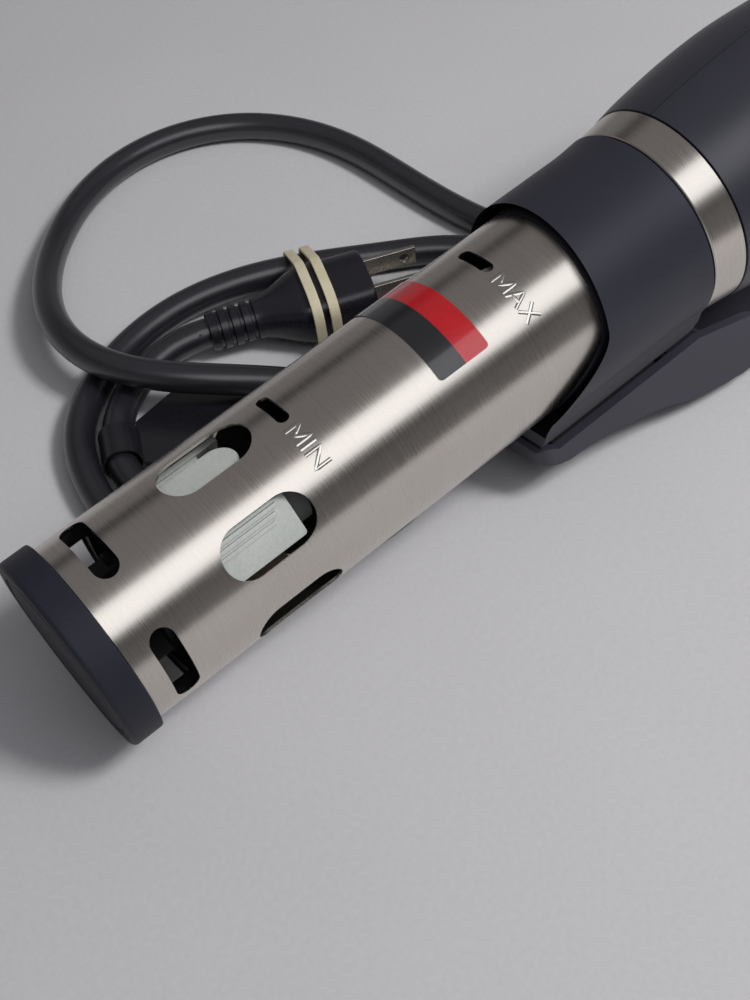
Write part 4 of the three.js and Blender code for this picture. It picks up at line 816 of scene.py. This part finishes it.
# Power cord: out of the gland, down to the table, round the big loop, under the sleeve and twice round to its plug
cordSizes = {"radius": 4.7, "floor": 4.75, "plugStart": (102.5, 89.6, 8.9), "plugTurn": -22, "plugPitch": 4}
plugTurn, plugPitch = radians(cordSizes["plugTurn"]), radians(cordSizes["plugPitch"])
plugAim = Vector((cos(plugTurn), sin(plugTurn), sin(plugPitch) / cos(plugPitch))).normalized()
shift = Vector((-lying["middle"], 0, 0))
f = cordSizes["floor"]
cordRoute = [
    (384, 1, 70), (400, 11, 58), (408, 27, 41), (405, 43, 24), (391, 54, 11), (370, 60, 5.3), (346, 61.5, f),
    (322, 60, f), (298, 55, f), (275, 47, f), (252, 41.5, f), (231, 43.5, f), (214.5, 55, f), (205.5, 74, f),
    (202, 94, f), (200.5, 114, f), (199, 138, f), (191.5, 160, f), (176, 178, f), (154.5, 187, f),
    (131, 186.5, f), (109, 177.5, f), (91, 162.5, 5.6), (76, 143.5, 9.2), (66, 122, 13), (64, 101, 15),
    (72, 83, 15), (87, 69, 14), (104, 57.5, 10.8), (121.5, 45, 5.8), (130, 28, f), (125.5, 9, f),
    (111, -1.5, f), (90.5, -3, f), (70, 0.5, f), (53, 10, f), (42.5, 26, f), (39.5, 45.5, f), (42, 65, f),
    (49.5, 84, f), (65, 97.5, f), (84, 106.5, f), (105, 109, 6.2), (127, 103.5, 8), (148, 95, 7.2),
    (169, 86, f), (187, 76.5, f), (199, 62, f), (200.8, 44, f), (192, 28, f), (175.5, 20, f),
    (157, 20.5, 6.8), (142, 24, 12.6), (126.5, 26, 16), (111, 26, 12.6), (95, 25, 6.8), (80.5, 24.8, f),
    (63, 30.6, f), (52, 46, f), (52, 65, f), (62.5, 81, f), (75.5, 90.5, f), (89.5, 93.2, 7.2)]


def makeCord():
    start = Vector(cordSizes["plugStart"])
    points = [toolPlace @ (Vector((x, 0, -glandSizes["depth"])) * mm) for x in (350, 366)]
    points += [(Vector(p) + shift) * mm for p in cordRoute]
    points += [(start + plugAim * d + shift) * mm for d in (-3, 5)]
    points = [2 * points[0] - points[1], *points, 2 * points[-1] - points[-2]]
    centre = []  # an even cubic spline through the route
    for i in range(len(points) - 3):
        for k in range(6):
            u = k / 6
            weights = ((1 - u) ** 3, 3 * u ** 3 - 6 * u ** 2 + 4, -3 * u ** 3 + 3 * u ** 2 + 3 * u + 1, u ** 3)
            centre.append(sum((w * p for w, p in zip(weights, points[i:i + 4])), Vector((0, 0, 0))) / 6)
    centre.append((points[-3] * 4 + points[-4] + points[-2]) / 6)
    line = roundBar("powerCord", cordSizes["radius"], 8)
    addSpline(line, centre).use_smooth = True
    cord = addObject("powerCord", line)
    line.materials.append(cordJacket)
    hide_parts("power_cord")
    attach(cord, "root")
    length = sum((b - a).length for a, b in zip(centre, centre[1:]))
    return cord, length, centre[0]


powerCord, cordLength, cordExit = makeCord()
print("cord laid, length", round(cordLength, 4))

# Plug in its own frame: X along the plug, Y across, Z up
plugSide = Vector((-plugAim.y, plugAim.x, 0)).normalized()
plugUp = plugAim.cross(plugSide)
plugOrigin = (Vector(cordSizes["plugStart"]) + shift) * mm
plugPlace = Matrix.Translation(plugOrigin) @ axes(plugAim, plugSide, plugUp)
plugSizes = {"front": 52, "halfWidth": 12.4, "halfHeight": 9, "relief": 6.6, "bore": 5.3, "spread": 12.7,
             "blade": (1.52, 6.35, 17.5), "level": 2.6, "pin": (2.4, 21, 8.2), "root": 7.6, "corner": 0.6,
             "slot": (44.1, 1.06, 3.5), "bladeRoot": 44.4, "pinHole": (2.7, 9, 48.6)}


def plugSection(x, halfWidth, halfHeight, corner, count=48):
    ring = []
    for a in around(count):
        across, up = (copysign(abs(v) ** corner, v) for v in (cos(a), sin(a)))
        ring.append((x, halfWidth * across, halfHeight * up))
    return ring


def makePlug():
    s = plugSizes
    r = s["relief"]
    outline = [(0, r - 0.9, r - 0.9, 1), (0.4, r - 0.5, r - 0.5, 1)]
    for k in range(4):
        x = 2.5 + k * 3.6
        for along, sunk in ((0, 0.3), (0.3, 1.1), (1.2, 1.1), (1.5, 0.2)):
            outline.append((x + along, r - sunk, r - sunk, 1))
    outline += [(17, r, r, 1), (20.5, 8.1, 6.9, 0.88), (24, 9.9, 7.4, 0.75), (27.5, 11.5, 8.3, 0.66),
                (31, 12.4, 9, 0.6), (40, 12.4, 9, 0.6), (50.8, 12.4, 9, 0.6), (51.7, 12, 8.6, 0.6),
                (52, 11.2, 7.8, 0.62)]
    plug = loftedPiece("plugBody", [plugSection(*row) for row in outline])
    tools = [cylinder("bore", s["bore"], 14, (-1, 0, 0), alongX, 40)]
    slotRoot, wide, tall = s["slot"]
    for y in (-s["spread"] / 2, s["spread"] / 2):
        tools.append(block("slot", (slotRoot, y - wide, s["level"] - tall),
                           (s["front"] + 1, y + wide, s["level"] + tall)))
    radius, length, drop = s["pin"]
    holeRadius, deep, holeMiddle = s["pinHole"]
    tools.append(cylinder("pinHole", holeRadius, deep, (holeMiddle, 0, s["level"] - drop), alongX, 32))
    cutAway(plug, *tools)
    finish(plug, plugPvc, "black_plastic", "root", "plug_body", place=plugPlace)
    thick, high, bladeLength = s["blade"]
    tip = s["front"] + bladeLength
    for name, y, node in (("plugBladeLeft", s["spread"] / 2, "plug_blade_left"),
                          ("plugBladeRight", -s["spread"] / 2, "plug_blade_right")):
        blade = block(name, (s["bladeRoot"], y - thick / 2, s["level"] - high / 2),
                      (tip, y + thick / 2, s["level"] + high / 2))
        cutAway(blade, cylinder("hole", 1.6, 8, (tip - 4, y, s["level"]), alongY, 32))
        roundEdges(blade, 0.35, 3)
        finish(blade, platedBrass, "brass", "root", node, place=plugPlace)
    middle = (s["front"] - s["root"] + s["front"] + length) / 2
    pin = cylinder("plugEarthPin", radius, length + s["root"], (middle, 0, s["level"] - drop), alongX, 40)
    roundEdges(pin, 1.1, 4)
    finish(pin, platedBrass, "brass", "root", "plug_earth_pin", place=plugPlace)


makePlug()

# Rubber band: two turns round the plug and the strand beside it
bandSizes = {"start": 31, "width": 3.2, "thick": 1, "spacing": 5.2, "strand": (22, -4.4), "gap": 0.5}


def hull(points):
    points = sorted(set(points))

    def half(items):
        line = []
        for p in items:
            while len(line) > 1 and ((line[-1][0] - line[-2][0]) * (p[1] - line[-2][1])
                                     - (line[-1][1] - line[-2][1]) * (p[0] - line[-2][0])) <= 0:
                line.pop()
            line.append(p)
        return line[:-1]

    return half(points) + half(points[::-1])


def bandLine(offset):
    s = bandSizes
    near = offset + s["gap"]
    plug = plugSizes
    ring = plugSection(0, plug["halfWidth"] + near, plug["halfHeight"] + near, plug["corner"])
    points = [(y, z) for x, y, z in ring]
    r = cordSizes["radius"] + near + 0.4
    points += [(s["strand"][0] + r * cos(a), s["strand"][1] + r * sin(a)) for a in around(40)]
    return hull([(round(y, 4), round(z, 4)) for y, z in points])


def evenly(line, count):
    closed = line + [line[0]]
    steps = [hypot(b[0] - a[0], b[1] - a[1]) for a, b in zip(closed, closed[1:])]
    total = sum(steps)
    result = []
    for k in range(count):
        rest, i = total * k / count, 0
        while rest > steps[i]:
            rest -= steps[i]
            i += 1
        t = rest / steps[i]
        result.append((closed[i][0] + (closed[i + 1][0] - closed[i][0]) * t,
                       closed[i][1] + (closed[i + 1][1] - closed[i][1]) * t))
    return result


def makeBand():
    s = bandSizes
    inner, outer = evenly(bandLine(0), 96), evenly(bandLine(s["thick"]), 96)
    turns = []
    for at in (s["start"], s["start"] + s["spacing"]):
        rings = []
        for x, line in ((at, inner), (at, outer), (at + s["width"], outer), (at + s["width"], inner), (at, inner)):
            rings.append([(x, y, z) for y, z in line])
        turns.append(roundEdges(loftedPiece("cordBand", rings, capped=False), 0.3, 2, 50))
    under = -plugSizes["halfHeight"] - s["gap"]
    bridge = block("bridge", (s["start"] + 1, -3, under - s["thick"]),
                   (s["start"] + s["spacing"] + 1, 3, under - 0.1))
    band = joinPieces(*turns, bridge)
    finish(band, naturalRubber, "band_rubber", "root", "cord_band", place=plugPlace)


makeBand()

# Flag tag: a film loop round the cord whose two ends meet in a flat flag
tagSizes = {"centre": (56.3, 68.8), "along": (0.42, 0.9), "slack": 0.8, "film": 0.6, "wrap": 12, "clear": 0.05,
            "flag": [(59.4, 73.8), (91, 81.4), (100, 57), (67, 52), (57, 62)]}


def makeTag():
    s = tagSizes
    centre = Vector((*s["centre"], cordSizes["floor"])) + shift
    turn = atan2(s["along"][1], s["along"][0])
    inner = cordSizes["radius"] + s["slack"]
    half = s["wrap"] / 2
    place = Matrix.Translation(centre * mm) @ Matrix.Rotation(turn, 4, "Z")
    outer = inner + s["film"]
    loop = moveMesh(turnedPiece("cordTag", [(-half, inner), (-half, outer), (half, outer), (half, inner)], 64), place)
    cutAway(loop, block("belowTable", (-400, -400, -30), (400, 400, s["clear"])))
    flag = outlinePlate("flag", [(x + shift.x, y) for x, y in s["flag"]], 0, s["film"])
    moveMesh(flag, moved(0, 0, cordSizes["floor"]))
    cutAway(flag, moveMesh(cylinder("keepOut", inner, 30, (0, 0, 0), alongX, 64), place))
    tag = joinPieces(loop, roundEdges(flag, 0.15, 2))
    finish(tag, vinylTag, "black_plastic", "root", "cord_tag", place=None)


makeTag()
print("plug, band and tag done")

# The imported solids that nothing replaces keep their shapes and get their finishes
kept = {
    drawnSteel: "drive_shaft heating_element heater_flange temperature_probe low_level_probe high_level_probe "
                "hinge_pin torsion_spring motor_housing motor_screw_1 motor_screw_2",
    blackNylon: "outlet_cage impeller cooling_fan", siliconeRubber: "flange_gasket shaft_seal",
    aluminium: "motor_mount heat_sink", solderMask: "display_board power_board", turnedBrass: "lower_bush",
    copperWinding: "motor_rotor"}
for material, names in kept.items():
    for node in names.split():
        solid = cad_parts[node]
        solid.data.materials.clear()
        solid.data.materials.append(material)
print("packed solids finished")

# Table, lights and camera
stageSizes = {"table": 6.0, "world": "#7c7a7c", "wall": ((0.36, 1), (0.47, 0.22), (0.56, 0.22), (0.68, 1.05))}
tableTop = surface("paintedTableTop", ior=1.5, grain=1.6, patch=120, dark="#c0bfc2", light="#cac9cc",
                   rough=(0.6, 0.75), relief=0.05)
clearSelection()
bpy.ops.mesh.primitive_plane_add(size=stageSizes["table"], location=(0, 0, -0.0003))
table = bpy.context.object
table.name = "tableTop"
table.data.materials.append(tableTop)

world = bpy.data.worlds.new("studio")
bpy.context.scene.world = world
world.use_nodes = True
sky = world.node_tree.nodes["Background"]
# the room is dimmer behind the camera than beyond the tool
directions = addNode(world, "TexCoord")
parts = addNode(world, "SeparateXYZ", {}, {0: directions.outputs["Generated"]})
level = addNode(world, "MapRange", {"From Min": -1.0, "From Max": -0.2, "To Min": 0.55, "To Max": 0.9},
                {"Value": parts.outputs["Y"]})
sky.inputs["Color"].default_value = linear(stageSizes["world"])
# a darker stretch of wall part of the way up shows as a dark streak along the steel
wall = addNode(world, "ValToRGB", {}, {"Fac": parts.outputs["Z"]})
for place, grey in stageSizes["wall"]:
    stop = wall.color_ramp.elements.new(place)
    stop.color = (grey, grey, grey, 1)
wall.color_ramp.elements[0].color = (1, 1, 1, 1)
both = addNode(world, "Math", {"operation": "MULTIPLY"}, {0: level.outputs[0], 1: wall.outputs[0]})
world.node_tree.links.new(both.outputs[0], sky.inputs["Strength"])

# the soft box draws the band of light on the steel, the main lamp above it lights and shades
lamps = {"softBox": ((0.106, -0.601, 0.999), (0.0, 0, 0.03), (1.5, 0.66), 4.5, "#f8faff"),
         "mainLamp": ((0.36, -0.62, 1.08), (0.0, 0.0, 0.0), (0.3, 0.3), 11.4, "#fffefc")}


# A lamp's long side runs along the tool
def aimed(place, target):
    back = Vector(place) - Vector(target)
    back = (back - toolAim * back.dot(toolAim)).normalized()
    return axes(toolAim, back.cross(toolAim), back).to_quaternion()


for name, (place, target, size, power, tone) in lamps.items():
    lamp = bpy.data.lights.new(name, "AREA")
    lamp.shape = "RECTANGLE"
    lamp.size, lamp.size_y = size
    lamp.energy = power
    lamp.color = linear(tone)[:3]
    holder = addObject(name, lamp)
    holder.location = place
    holder.rotation_mode = "QUATERNION"
    holder.rotation_quaternion = aimed(place, target)
    holder.visible_glossy = name == "softBox"

cameraSizes = {"place": (-0.24272, -0.21802, 0.32602), "lens": 54.65,
               "right": (0.77611, -0.62986, -0.03063), "up": (0.49056, 0.57252, 0.65695),
               "back": (-0.39624, -0.52489, 0.75332)}
lens = bpy.data.cameras.new("camera")
lens.lens = cameraSizes["lens"]
lens.clip_start, lens.clip_end = 0.02, 20
camera = addObject("camera", lens)
rows = zip(cameraSizes["right"], cameraSizes["up"], cameraSizes["back"], cameraSizes["place"])
camera.matrix_world = Matrix([list(row) for row in rows] + [[0, 0, 0, 1]])
bpy.context.scene.camera = camera
bpy.context.scene.view_settings.view_transform = "Standard"
print("table, lights and camera set")
